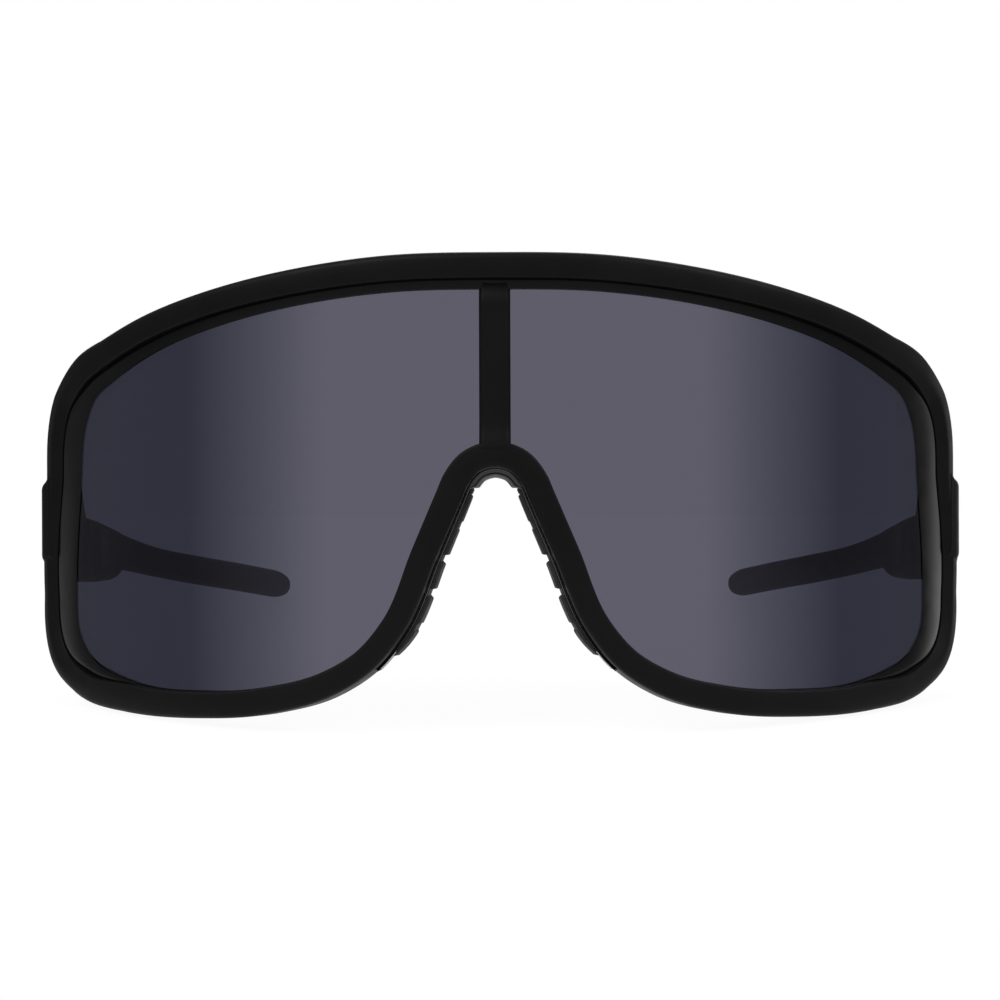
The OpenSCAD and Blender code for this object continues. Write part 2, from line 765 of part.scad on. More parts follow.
front_frame();
shield_lens();
lens_bezel();
centre_bar();
nose_carrier();
nose_pad_left();
nose_pad_right();
hinge_front_leaf_left();
hinge_front_leaf_right();
front_leaf_screws_left();
front_leaf_screws_right();
hinge_screw_left();
hinge_screw_right();
temple_arm_left();
temple_arm_right();
hinge_temple_leaf_left();
hinge_temple_leaf_right();
temple_leaf_screws_left();
temple_leaf_screws_right();
temple_tip_left();
temple_tip_right();
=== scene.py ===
"""Looks of the wraparound sport sunglasses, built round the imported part.

The front is drawn flat, as arc u across and height z from the eye line, and is wrapped round an
upright cylinder, as in the part's source. Lengths are millimetres in that face frame, and row()
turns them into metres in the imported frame. Left is the wearer's left, on the +X side.
"""
import json
import math

import bmesh
import bpy
import numpy as np
from mathutils import Matrix, Vector


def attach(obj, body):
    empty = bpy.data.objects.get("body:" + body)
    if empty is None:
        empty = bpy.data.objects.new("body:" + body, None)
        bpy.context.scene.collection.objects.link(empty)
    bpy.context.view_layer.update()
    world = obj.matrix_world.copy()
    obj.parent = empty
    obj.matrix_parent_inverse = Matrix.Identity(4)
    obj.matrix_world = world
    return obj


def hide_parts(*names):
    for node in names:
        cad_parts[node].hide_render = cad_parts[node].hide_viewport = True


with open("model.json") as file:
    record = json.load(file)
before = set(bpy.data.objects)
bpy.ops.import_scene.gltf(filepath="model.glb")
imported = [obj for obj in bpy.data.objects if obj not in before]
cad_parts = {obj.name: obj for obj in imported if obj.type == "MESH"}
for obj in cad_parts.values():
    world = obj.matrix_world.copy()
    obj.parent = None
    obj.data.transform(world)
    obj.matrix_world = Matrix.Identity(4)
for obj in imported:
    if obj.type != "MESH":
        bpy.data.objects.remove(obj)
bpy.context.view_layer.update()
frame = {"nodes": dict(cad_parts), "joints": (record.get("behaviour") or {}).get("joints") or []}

# Sizes of the part, as in its source. First the lens and its seat in the rim
LENS_R = 88.0
LENS_T = 2.0
LENS_HALF_ARC = 76.3
LENS_TOP = 31.8
LENS_BOTTOM = 29.3
LENS_LAP = 1.1
LENS_GAP = 0.1
SEAT_GAP = 0.05
SEAT_SHARE = 0.6

# Rim
RIM_TOP_W = 5.5
RIM_SIDE_W = 8.4
RIM_BOTTOM_W = 4.2
RIM_NOSE_W = 4.0
RIM_FRONT = 1.9
RIM_SIDE_FRONT = 1.1
RIM_BACK = 4.6
RIM_ROUND = 1.4
RIM_BACK_ROUND = 0.9
EDGE_ROUND = 0.4

# Bezel, which is the band on the lens, and the centre bar
BEZEL_TOP_W = 1.3
BEZEL_SIDE_W = 5.3
BEZEL_T = 0.5
BEZEL_GROOVE = 0.2
BAR_W = 4.7
BAR_T = 1.1
BAR_BEVEL = 0.5

# Nose arch, its liner and the ribbed pads. Flank and splay are in degrees
NOSE_TOP = 8.8
NOSE_ARCH_R = 8.4
NOSE_FLANK = 23.0
NOSE_FLANK_LOW = 18.2
NOSE_DEPTH = 7.0
NOSE_SPLAY = 18.0
LIP_GAP = 0.06
LIP_T = 0.3
LIP_ARCH_T = 1.4
LIP_FRONT = 0.9
LEG_T = 1.4
FLANGE_W = 2.6
FLANGE_T = 1.6
PAD_GAP = 0.07
PAD_BASE = 0.15
PAD_FRONT = 1.1
PAD_SHORT = 1.2
RIB_FIRST = 0.7
RIB_LEN = 4.4
RIB_PITCH = 5.55
RIB_H = 0.5
RIB_GAPS = [0.35, 1, 1, 0.45]

# End pieces, and the hinge with its pin, leaves and screws
END_W = 7.2
END_LEN = 9.3
END_PROUD = 1.6
END_TOP = 3.4
END_BOTTOM = 10.2
ROOT_H = 10.4
ROOT_ROUND = 1.6
BUTT_GAP = 0.25
HINGE_DROP = 7.6
KNUCKLE_R = 1.5
KNUCKLE_H = 2.0
KNUCKLE_GAP = 0.1
NOTCH_GAP = 0.35
PIN_R = 0.7
HEAD_R = 1.3
HEAD_H = 0.7
HEAD_GAP = 0.3
LEAF_T = 0.9
LEAF_LEN = 6.2
LEAF_GAP = 0.1
LEAF_SCREW_R = 0.6
LEAF_HEAD_R = 1.1
LEAF_HEAD_H = 0.45

# Arms
ARM_LEN = 103.0
ARM_INSET = 25.2
ARM_FALL = 0.7
ARM_DROP = 7.7
ARM_H = 5.1
ARM_TIP_H = 5.2
ARM_T = 4.4
ARM_TIP_T = 3.5
ARM_ROUND = 0.95
HEEL_LEN = 16.5
SLEEVE_LEN = 37.0

# Finer shapes that only show up close: stations from knot to knot, how far faces are drawn in from
# the solid part's, the rim's crown and drawn-out back, its groove, and the easing of edges
STEPS = 12
SKIN = 0.05
CROWN = 0.12
BACK_DRAW = 1.3
BACK_LEFT = 2.2 * RIM_BACK_ROUND
GROOVE_CUT = 0.8
GROOVE_MORE = 0.25
END_EASE = 0.3
RIB_EASE = 0.35
SEAM_EASE = 0.18
LIP_EASE = 0.9
EASE_ANGLES = np.radians([0, 30, 60, 90])
# The band lies a little lower than in the solid part, so that its inner edge hardly shows
BAND_T = 0.17

# Places that follow from the sizes
SIDE_ANGLE = (LENS_HALF_ARC + RIM_SIDE_W) / LENS_R
SIDE_Y = LENS_R * (1 - math.cos(SIDE_ANGLE))
END_OUT_X = LENS_R * math.sin(SIDE_ANGLE) + END_PROUD
END_IN_X = END_OUT_X - END_W
BUTT_Y = SIDE_Y + END_LEN
HINGE_Z = -HINGE_DROP
AXIS_X = END_IN_X + LEAF_T - KNUCKLE_R
BARREL_H = 3 * KNUCKLE_H + 2 * KNUCKLE_GAP
NOTCH_R = KNUCKLE_R + NOTCH_GAP
POCKET_H = BARREL_H + 2 * SEAT_GAP
LEAF_START = NOTCH_R + LEAF_GAP
LEAF_SCREW_Y = LEAF_START + LEAF_LEN / 2
LEAF_SCREW_Z = BARREL_H / 4
ROOT_Z = np.array([HINGE_Z - ROOT_H / 2, HINGE_Z + ROOT_H / 2])
END_Z = np.array([-END_BOTTOM, END_TOP])
ARM_MID = HINGE_Z - ARM_FALL
ARM_ANGLE = math.atan2(ARM_INSET, ARM_LEN)
SLEEVE_D = ARM_LEN - SLEEVE_LEN

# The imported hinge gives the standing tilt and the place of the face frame's origin
hinge = next(j for j in frame["joints"] if j["name"] == "fold_left")
TILT = math.atan2(hinge["axis"][1], hinge["axis"][2])
TILT_COS = math.cos(TILT)
TILT_SIN = math.sin(TILT)
SHIFT_Y = hinge["pos_m"][1] * 1000 - (BUTT_Y * TILT_COS + HINGE_Z * TILT_SIN)
SHIFT_Z = hinge["pos_m"][2] * 1000 - (HINGE_Z * TILT_COS - BUTT_Y * TILT_SIN)


def row(points):
    """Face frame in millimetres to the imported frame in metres."""
    x, y, z = np.moveaxis(np.asarray(points, float), -1, 0)
    tilted = [x, y * TILT_COS + z * TILT_SIN + SHIFT_Y, z * TILT_COS - y * TILT_SIN + SHIFT_Z]
    return np.stack(tilted, -1) / 1000


def mix(a, b, share):
    return a + (b - a) * share


def ease(low, high, value):
    """0 up to low, 1 from high on, and a smooth rise between them."""
    t = np.clip((value - low) / (high - low), 0, 1)
    return t * t * (3 - 2 * t)


def wrap(u, z, n):
    """Point on the wrapped front: arc u, height z and height n over the lens's front face."""
    a = np.asarray(u) / LENS_R
    n, z = np.broadcast_arrays(n, z)
    return np.stack([(LENS_R + n) * np.sin(a), LENS_R - (LENS_R + n) * np.cos(a), z], -1)


# Smooth curve through rows of values, whose first two columns set the distance along it
def headings(rows, closed):
    """Slope of the curve at each of its knots, which are the rows."""
    before = np.roll(rows, 1, 0)
    after = np.roll(rows, -1, 0)
    if not closed:
        before[0] = rows[0]
        after[-1] = rows[-1]
    ab = np.linalg.norm((rows - before)[:, :2], axis=1)[:, None]
    bc = np.linalg.norm((after - rows)[:, :2], axis=1)[:, None]
    with np.errstate(divide="ignore", invalid="ignore"):
        middle = ((after - rows) * (ab / bc) + (rows - before) * (bc / ab)) / (ab + bc)
        middle = np.where(ab == 0, (after - rows) / bc, middle)
        return np.where(bc == 0, (rows - before) / ab, middle)


def curve_at(rows, c, closed):
    """Values and slope of the curve at knot number c, which may lie between two knots."""
    n = len(rows)
    i = min(int(c), n - 1 if closed else n - 2)
    j = (i + 1) % n
    t = c - i
    slope = headings(rows, closed)
    d = np.linalg.norm((rows[j] - rows[i])[:2])
    value = (
        rows[i] * (2 * t**3 - 3 * t**2 + 1)
        + slope[i] * d * (t**3 - 2 * t**2 + t)
        + rows[j] * (3 * t**2 - 2 * t**3)
        + slope[j] * d * (t**3 - t**2)
    )
    rate = (
        rows[i] * (6 * t**2 - 6 * t)
        + slope[i] * d * (3 * t**2 - 4 * t + 1)
        + rows[j] * (6 * t - 6 * t**2)
        + slope[j] * d * (3 * t**2 - 2 * t)
    )
    return value, rate


def outward(rate):
    """Direction square to a slope, away from the lens's middle."""
    return np.array([-rate[1], rate[0]]) / np.hypot(rate[0], rate[1])


# Lens opening, the wearer's left half from brow to nose: share of the half arc and of the height,
# then how far the rim and the bezel have grown towards their side widths
BROW_ROWS = [
    (0, 1, 0, 0),
    (0.21, 0.99, 0, 0),
    (0.406, 0.934, 0, 0.02),
    (0.588, 0.843, 0.05, 0.08),
    (0.743, 0.733, 0.15, 0.12),
    (0.857, 0.607, 0.465, 0.27),
    (0.936, 0.494, 0.96, 0.46),
    (0.962, 0.393, 1.56, 0.86),
    (0.984, 0.063, 1.59, 0.96),
]
CHEEK_ROWS = [
    (1, -0.478, 1.29, 1),
    (0.991, -0.7, 1.24, 0.88),
    (0.944, -0.843, 0.635, 0.45),
    (0.818, -0.963, 0.15, 0.05),
    (0.638, -1, 0, 0),
    (0.472, -0.969, 0, 0),
    (0.347, -0.887, -0.05, 0),
    (0.275, -0.778, -0.1, 0),
]
# Share of the nose rim's width at the knots up the flank
FLANK_SHARES = (0.93, 0.98, 1, 1)
# The bezel ends this many cheek knots, and stations more, past the brow
BEZEL_CHEEK_KNOTS = 3
BEZEL_MORE_STATIONS = 2


def half_outline():
    """Knots of the left half: arc, height, rim width and bezel width."""
    brow = []
    for u, z, rim, bezel in BROW_ROWS:
        widths = (mix(RIM_TOP_W, RIM_SIDE_W, rim), mix(BEZEL_TOP_W, BEZEL_SIDE_W, bezel))
        brow.append((u * LENS_HALF_ARC, z * LENS_TOP, *widths))
    cheek = []
    for u, z, rim, bezel in CHEEK_ROWS:
        widths = (mix(RIM_BOTTOM_W, RIM_SIDE_W, rim), BEZEL_SIDE_W * bezel)
        cheek.append((u * LENS_HALF_ARC, z * LENS_BOTTOM, *widths))
    slope = math.radians(NOSE_FLANK)
    flank_u = NOSE_ARCH_R * math.cos(slope)
    arch_z = NOSE_TOP - NOSE_ARCH_R
    arch_end_z = arch_z + NOSE_ARCH_R * math.sin(slope)
    middle_z = (arch_end_z - NOSE_FLANK_LOW) / 2
    heights = (-NOSE_FLANK_LOW, middle_z, arch_end_z - NOSE_ARCH_R / 4, arch_end_z)
    nose = []
    for z, share in zip(heights, FLANK_SHARES):
        nose.append((flank_u + (arch_end_z - z) * math.tan(slope), z, RIM_NOSE_W * share, 0))
    turn = (slope + math.pi / 2) / 2
    nose.append((NOSE_ARCH_R * math.cos(turn), arch_z + NOSE_ARCH_R * math.sin(turn), RIM_NOSE_W, 0))
    nose.append((0, NOSE_TOP, RIM_NOSE_W, 0))
    return np.array(brow + cheek + nose, float)


HALF = half_outline()
LAST = len(HALF) - 1
LOOP = np.concatenate([HALF, HALF[LAST - 1 : 0 : -1] * [-1, 1, 1, 1]])
COUNT = len(LOOP) * STEPS
STATIONS = [curve_at(LOOP, k / STEPS, True) for k in range(COUNT)]
EDGE = np.array([value for value, rate in STATIONS])
OUT = np.array([outward(rate) for value, rate in STATIONS])
BEZEL_WIDTH = np.maximum(EDGE[:, 3], 0)
SEAT_WIDTH = np.maximum(BEZEL_WIDTH - BEZEL_TOP_W, 0) * SEAT_SHARE
# The rim's inner back edge is drawn out as far as a look from ahead through the lens leans out
LEAN = np.tan(np.abs(EDGE[:, 0]) / LENS_R) * np.maximum(OUT[:, 0] * np.sign(EDGE[:, 0]), 0)
DRAWN_OUT = np.minimum(BACK_DRAW * RIM_BACK * LEAN, EDGE[:, 2] - BACK_LEFT)
BACK_WIDTH = np.maximum(2 * SEAT_WIDTH, DRAWN_OUT)
ARCH_TOP = STEPS * LAST
NOSE_END = STEPS * (len(BROW_ROWS) + len(CHEEK_ROWS) - 1)
BEZEL_END = STEPS * (len(BROW_ROWS) + BEZEL_CHEEK_KNOTS) + BEZEL_MORE_STATIONS


def ring_at(i, section):
    """Section points, as distance from the lens opening and height n, placed at station i."""
    section = np.asarray(section, float)
    flat = EDGE[i, :2] + OUT[i] * section[:, :1]
    return wrap(flat[:, 0], flat[:, 1], section[:, 1])


# A corner's arc takes up this share of its sides at most, and a flatter bend than this has none
ARC_SHARE = 0.49
STRAIGHT = 1e-3


def rounded(corners, segments=5):
    """Closed section through corners, which are x, y and the radius of the arc put there."""
    points = []
    n = len(corners)
    for k in range(n):
        p = np.array(corners[k][:2])
        radius = corners[k][2]
        before = np.array(corners[k - 1][:2]) - p
        after = np.array(corners[(k + 1) % n][:2]) - p
        reach = ARC_SHARE * min(np.hypot(*before), np.hypot(*after))
        before = before / np.hypot(*before)
        after = after / np.hypot(*after)
        half = math.acos(max(-1.0, min(1.0, float(before @ after)))) / 2
        if radius == 0:
            points.append(p)
            continue
        if math.pi / 2 - half < STRAIGHT:
            points += [p + before * reach * (1 - 2 * q / segments) for q in range(segments + 1)]
            continue
        radius = min(radius, reach * math.tan(half))
        centre = p + (before + after) / np.hypot(*(before + after)) * radius / math.sin(half)
        start = p + before * radius / math.tan(half) - centre
        stop = p + after * radius / math.tan(half) - centre
        sweep = math.atan2(start[0] * stop[1] - start[1] * stop[0], float(start @ stop))
        for q in range(segments + 1):
            a = sweep * q / segments
            swung = np.array([
                start[0] * math.cos(a) - start[1] * math.sin(a),
                start[0] * math.sin(a) + start[1] * math.cos(a),
            ])
            points.append(centre + swung)
    return np.array(points)


# Meshes: angle in degrees over which an edge stays sharp, and the distance in metres that welds points
SHARP = 35
WELD = 1e-7
# How far a cutter reaches out of what it cuts, and the sides of a round solid
OVERCUT = 1.0
ROUND_SIDES = 48
BOX_FACES = [(0, 1, 3, 2), (4, 6, 7, 5), (0, 4, 5, 1), (2, 3, 7, 6), (0, 2, 6, 4), (1, 5, 7, 3)]


def finish_mesh(mesh, sharp=SHARP):
    """Welds a mesh, turns its faces outward and shades it smooth between sharp edges."""
    work = bmesh.new()
    work.from_mesh(mesh)
    bmesh.ops.remove_doubles(work, verts=work.verts, dist=WELD)
    bmesh.ops.recalc_face_normals(work, faces=work.faces)
    if work.calc_volume(signed=True) < 0:
        bmesh.ops.reverse_faces(work, faces=work.faces)
    work.to_mesh(mesh)
    work.free()
    mesh.polygons.foreach_set("use_smooth", [True] * len(mesh.polygons))
    mesh.set_sharp_from_angle(angle=math.radians(sharp))


def add_object(name, points, faces, sharp=SHARP):
    """New mesh object from face-frame points."""
    mesh = bpy.data.meshes.new(name)
    mesh.from_pydata(row(points).tolist(), [], faces)
    finish_mesh(mesh, sharp)
    made = bpy.data.objects.new(name, mesh)
    bpy.context.scene.collection.objects.link(made)
    return made


def loft(name, rings, closed=False, sharp=SHARP):
    """Closed skin over rings of the same number of points."""
    rings = np.asarray(rings)
    n, m = rings.shape[:2]
    faces = [
        (i * m + j, i * m + (j + 1) % m, (i + 1) % n * m + (j + 1) % m, (i + 1) % n * m + j)
        for i in range(n if closed else n - 1)
        for j in range(m)
    ]
    if not closed:
        faces += [tuple(range(m)), tuple(range((n - 1) * m, n * m))]
    return add_object(name, rings.reshape(-1, 3), faces, sharp)


def combine(piece, others, operation):
    """Adds other closed meshes to a piece, or cuts them out of it."""
    for other in others:
        step = piece.modifiers.new(operation, "BOOLEAN")
        step.operation = operation
        step.object = other
        step.solver = "MANIFOLD"
    shown = piece.evaluated_get(bpy.context.evaluated_depsgraph_get())
    mesh = bpy.data.meshes.new_from_object(shown)
    piece.modifiers.clear()
    piece.data = mesh
    finish_mesh(mesh)
    for other in others:
        bpy.data.objects.remove(other)


def same(points):
    """Place of a left piece, which is how all are drawn."""
    return np.asarray(points, float)


def mirrored(points):
    """Place of a right piece."""
    return np.asarray(points, float) * [-1, 1, 1]


def with_arm(points):
    """Turns points about the left hinge, so that they lie along the arm's leaning inner face."""
    x, y, z = np.moveaxis(np.asarray(points, float), -1, 0)
    c = math.cos(ARM_ANGLE)
    s = math.sin(ARM_ANGLE)
    dx = x - AXIS_X
    dy = y - BUTT_Y
    return np.stack([AXIS_X + dx * c - dy * s, BUTT_Y + dx * s + dy * c, z], -1)


def along_arm(place):
    """The left or right place of what lies along the arm."""
    return lambda points: place(with_arm(points))


def block(name, low, high, place):
    xs, ys, zs = zip(low, high)
    corners = [(x, y, z) for x in xs for y in ys for z in zs]
    return add_object(name, place(corners), BOX_FACES)


def turned(name, start, axis, profile, place):
    """Round solid from start, about an axis square to y. Profile: distance along it and radius."""
    axis = np.array(axis, float)
    across = np.array([0, 1, 0])
    third = np.cross(axis, across)
    a = np.arange(ROUND_SIDES) * 2 * math.pi / ROUND_SIDES
    circle = np.cos(a)[:, None] * across + np.sin(a)[:, None] * third
    rings = [np.array(start) + axis * d + circle * r for d, r in profile]
    return loft(name, place(np.array(rings)))


def hinge_room(way, place):
    """Room for one leaf, the knuckles and the pin's head. way is 1 behind the hinge, -1 before it."""
    low_z = HINGE_Z - POCKET_H / 2
    reach = LEAF_START + LEAF_LEN + SEAT_GAP
    near, far = sorted([BUTT_Y - way * OVERCUT, BUTT_Y + way * reach])
    pocket_low = (END_IN_X - OVERCUT, near, low_z)
    pocket_high = (END_IN_X + LEAF_T + SEAT_GAP, far, low_z + POCKET_H)
    up = (0, 0, 1)
    over = POCKET_H / 2 + HEAD_H + HEAD_GAP
    head_r = HEAD_R + HEAD_GAP
    return [
        block("pocket", pocket_low, pocket_high, place),
        turned("notch", (AXIS_X, BUTT_Y, low_z), up, [(0, NOTCH_R), (POCKET_H, NOTCH_R)], place),
        turned("head_room", (AXIS_X, BUTT_Y, HINGE_Z), up, [(0, head_r), (over, head_r)], place),
    ]


# Front frame: the rim, wrapped round the lens, with an end piece at each side. At the brow and the
# sides: place of the rim's crest as a share of its width, the crest's radius and the groove lip's
CREST_PLACE = (0.5, 0.45)
CREST_ROUND = (9, 1.2)
GROOVE_LIP_ROUND = (EDGE_ROUND, 0.15)


def rim_section(i):
    """Section of the rim at station i: lens seat, groove, crest and back."""
    w = EDGE[i, 2] - SKIN
    bezel = BEZEL_WIDTH[i]
    slope = np.clip((bezel - BEZEL_TOP_W) / (BEZEL_SIDE_W - BEZEL_TOP_W), 0, 1)
    lip = bezel + BEZEL_GROOVE * min(1, bezel / BEZEL_TOP_W) + GROOVE_MORE * slope
    groove_in = lip - SKIN - (lip - bezel) * slope
    groove_n = -GROOVE_CUT * slope
    ledge = SEAT_WIDTH[i]
    seat = ledge + LENS_LAP + LENS_GAP
    floor_n = -LENS_T - LENS_GAP
    front = mix(RIM_FRONT, RIM_SIDE_FRONT, slope) - SKIN
    shoulder = front - CROWN
    return rounded([
        (ledge, floor_n, 0),
        (seat, floor_n, 0),
        (seat, SEAT_GAP, 0),
        (groove_in, SEAT_GAP, 0),
        (groove_in, groove_n, 0),
        (lip, groove_n, 0),
        (lip, mix(shoulder, BAND_T, slope), mix(*GROOVE_LIP_ROUND, slope)),
        (lip + (w - lip) * mix(*CREST_PLACE, slope), front, mix(*CREST_ROUND, slope)),
        (w, shoulder, min(RIM_ROUND, (w - lip) / 2)),
        (w, -RIM_BACK, RIM_BACK_ROUND),
        (BACK_WIDTH[i], -RIM_BACK, RIM_BACK_ROUND),
    ])


# End piece, rim to hinge: distance behind the rim's side as a share of its length, how far its
# inner and outer face are drawn in, and how far its height has turned to that of the hinge
END_ROWS = np.array([
    (-0.19, 0.3, 0.2, -0.3),
    (-0.05, 0.1, 0.04, 0),
    (0.11, 0, 0, 0),
    (0.67, 0, 0, 0.85),
    (1 - BUTT_GAP / 2 / END_LEN, 0, 0, 1),
])
END_STEPS = 6


def upright_ring(x, z, radius, y):
    """Upright ring with rounded corners at depth y."""
    corners = [(x[1], z[0]), (x[1], z[1]), (x[0], z[1]), (x[0], z[0])]
    flat = rounded([(*corner, radius) for corner in corners], segments=8)
    return np.stack([flat[:, 0], np.full(len(flat), y), flat[:, 1]], -1)


def end_ring(values, trim=0, back=0):
    """Ring across the end piece, drawn in by trim all round and set back."""
    d, inner, outer, turn = values
    x = np.array([END_IN_X + END_W * max(inner, 0) + trim, END_OUT_X - END_W * max(outer, 0) - trim])
    z = mix(END_Z, ROOT_Z, turn) + [trim, -trim]
    return upright_ring(x, z, ROOT_ROUND - trim, SIDE_Y + END_LEN * d - back)


def end_piece(place):
    """Left or right end piece, with an eased edge where it meets the arm."""
    knots = np.arange(0, len(END_ROWS) - 1, 1 / END_STEPS)
    rings = [end_ring(curve_at(END_ROWS, c, False)[0]) for c in knots[:-1]]
    for a in EASE_ANGLES:
        rings.append(end_ring(END_ROWS[-1], END_EASE * (1 - math.cos(a)), END_EASE * (1 - math.sin(a))))
    return loft("end_piece", place(np.array(rings)))


def build_front():
    rim = loft("frame_front", [ring_at(i, rim_section(i)) for i in range(COUNT)], closed=True)
    combine(rim, [end_piece(same), end_piece(mirrored)], "UNION")
    combine(rim, hinge_room(-1, same) + hinge_room(-1, mirrored), "DIFFERENCE")
    return rim


# Lens: upright columns between the edges of the lapped outline, crowded at the middle and the sides
LENS_COLUMNS = 150
LENS_LEVELS = 24
COLUMN_CROWD = 0.85


def build_lens():
    lapped = EDGE[:, :2] + OUT * (SEAT_WIDTH + LENS_LAP)[:, None]
    lapped = lapped[: ARCH_TOP + 1]
    tip = int(lapped[:, 0].argmax())
    upper = lapped[: tip + 1]
    lower = lapped[ARCH_TOP : tip - 1 : -1]
    column = np.arange(-LENS_COLUMNS, LENS_COLUMNS + 1)
    share = np.abs(column) / LENS_COLUMNS
    side = np.sign(column)
    columns = (lapped[tip, 0] - SEAT_GAP) * mix(share, share**2 * (3 - 2 * share), COLUMN_CROWD)
    rings = []
    for u, way in zip(columns, side):
        high = np.interp(u, upper[:, 0], upper[:, 1])
        low = np.interp(u, lower[:, 0], lower[:, 1])
        levels = np.linspace(low, high, LENS_LEVELS)
        front = wrap(np.full(LENS_LEVELS, u * way), levels, 0)
        back = wrap(np.full(LENS_LEVELS, u * way), levels[::-1], -LENS_T)
        rings.append(np.concatenate([front, back]))
    return loft("lens_shield", rings)


# Bezel: a low band that swells up beside the lens, falls off to the groove and tapers out at the
# cheeks. The fall is for the full width, and narrower places fall less.
BEZEL_RISE = np.array([(0, 0.35), (0.015, 0.84), (0.2, 0.95), (0.5, 1)])
BEZEL_FALL = np.array([(0.5, 1), (0.7, 0.97), (0.86, 0.88), (1, 0.7)])
BEZEL_FOOT = 1.4 * SEAT_GAP
BROW_BAND_T = 0.6 * BEZEL_T
DOME_STEPS = 4


def smooth_rows(rows):
    knots = np.arange((len(rows) - 1) * DOME_STEPS + 1) / DOME_STEPS
    return np.minimum([curve_at(rows, c, False)[0] for c in knots], 1)


def bezel_section(i):
    """Section of the band at station i, from the lens's edge to the groove."""
    wide = min(1, BEZEL_WIDTH[i] / BEZEL_SIDE_W)
    fall = smooth_rows(BEZEL_FALL)
    fall[:, 1] = 1 - (1 - fall[:, 1]) * wide
    thick = mix(BROW_BAND_T, BAND_T, wide)
    dome = np.concatenate([smooth_rows(BEZEL_RISE), fall[1:]]) * [BEZEL_WIDTH[i], thick]
    return np.concatenate([[(0, BEZEL_FOOT)], dome, [(BEZEL_WIDTH[i], BEZEL_FOOT)]])


def build_bezel():
    stations = [k % COUNT for k in range(-BEZEL_END, BEZEL_END + 1)]
    return loft("lens_band", [ring_at(i, bezel_section(i)) for i in stations], sharp=50)


# Centre bar: bevelled, sunk into the band at its top and swept up into the nose arch at its foot
BAR_SWEEP = 4.5
BAR_SINK = 1.0
BAR_LEVELS = 40
BAR_SIDE_ROUND = 0.15
BAR_FACE_ROUND = 0.3


def build_bar():
    rings = []
    for z in np.linspace(NOSE_TOP - BAR_SINK, LENS_TOP + BAR_SINK, BAR_LEVELS):
        foot = 1 - ease(NOSE_TOP - BAR_SINK, NOSE_TOP + BAR_SWEEP, z)
        top = ease(LENS_TOP - 2 * BAR_SINK, LENS_TOP + BAR_SINK, z)
        height = mix(mix(BAR_T, RIM_FRONT - CROWN / 4, foot**2), BROW_BAND_T - SEAT_GAP, top)
        half = BAR_W / 2
        section = rounded([
            (-half, SEAT_GAP, 0),
            (half, SEAT_GAP, 0),
            (half, height - BAR_BEVEL, BAR_SIDE_ROUND),
            (half - BAR_BEVEL, height, BAR_FACE_ROUND),
            (BAR_BEVEL - half, height, BAR_FACE_ROUND),
            (-half, height - BAR_BEVEL, BAR_SIDE_ROUND),
        ])
        rings.append(wrap(section[:, 0], np.full(len(section), z), section[:, 1]))
    return loft("bridge_bar", rings)


# Nose piece: a lip inside the arch, then splayed legs behind the rim, with ribbed pads on it
SWING = math.tan(math.radians(NOSE_SPLAY))
KINK = RIM_BACK + SEAT_GAP
LEG_BACK = RIM_BACK + NOSE_DEPTH
KINK_ROUND = 1.0
LEG_ROUND = 0.5
FLANGE_ROUND = 0.1

# Along the liner's front edge runs a bead and a groove, as shares of its thickness
BEAD_SHARE = 0.09
GROOVE_SHARE = 0.42
BEAD_PROUD = 0.3
GROOVE_DEPTH = 0.9

# The lip grows thicker from the flank's end to the arch, over this share of a knot
LIP_GROWTH = 0.3

# Below the pads the liner's face is drawn in towards its back, in full up to the first of these
# knots from its end and no more from the second
LEG_DRAW = 0.8
LEG_DRAW_KNOTS = (1, 1.6)


def liner_section(i):
    """Section of the liner at station i: groove, lip, splayed leg, flange and bead."""
    station = min(i, COUNT - i)
    flank_end = ARCH_TOP - 2 * STEPS
    thick = mix(LIP_T, LIP_ARCH_T, ease(flank_end, flank_end + LIP_GROWTH * STEPS, station))
    face = LIP_GAP + thick
    draw_start, draw_stop = (NOSE_END + knots * STEPS for knots in LEG_DRAW_KNOTS)
    low = 1 - ease(draw_start, draw_stop, station)
    kink = face - LEG_DRAW * low
    back = face - NOSE_DEPTH * SWING - LEG_DRAW * low
    bead = LIP_GAP + thick * BEAD_SHARE
    bead_round = thick * BEAD_SHARE / 2
    groove = LIP_GAP + thick * GROOVE_SHARE
    corners = [
        (groove, LIP_FRONT + GROOVE_DEPTH, 0),
        (groove, LIP_FRONT + thick / 8, thick / 6),
        (face, LIP_FRONT + thick / 4, LIP_EASE),
        (kink, KINK, KINK_ROUND),
        (back, LEG_BACK, LEG_ROUND),
        (back - LEG_T, LEG_BACK, LEG_ROUND),
        (-FLANGE_W, KINK + FLANGE_T, LEG_ROUND),
        (-FLANGE_W, KINK, FLANGE_ROUND),
        (LIP_GAP, KINK, 0),
        (LIP_GAP, LIP_FRONT - BEAD_PROUD, bead_round),
        (bead, LIP_FRONT - BEAD_PROUD, bead_round),
        (bead, LIP_FRONT + GROOVE_DEPTH, 0),
    ]
    return rounded(corners) * [1, -1] + [EDGE[i, 2], 0]


def build_liner():
    stations = range(NOSE_END, COUNT - NOSE_END + 1)
    return loft("nose_liner", [ring_at(i, liner_section(i)) for i in stations])


# Pads: they sit on the liner, and run down this many knots of the flank
PAD_SEAT = LIP_GAP + LIP_T + PAD_GAP
PAD_BACK = LEG_BACK - PAD_SHORT
PAD_ROUND = 0.3
PAD_KNOTS = 5


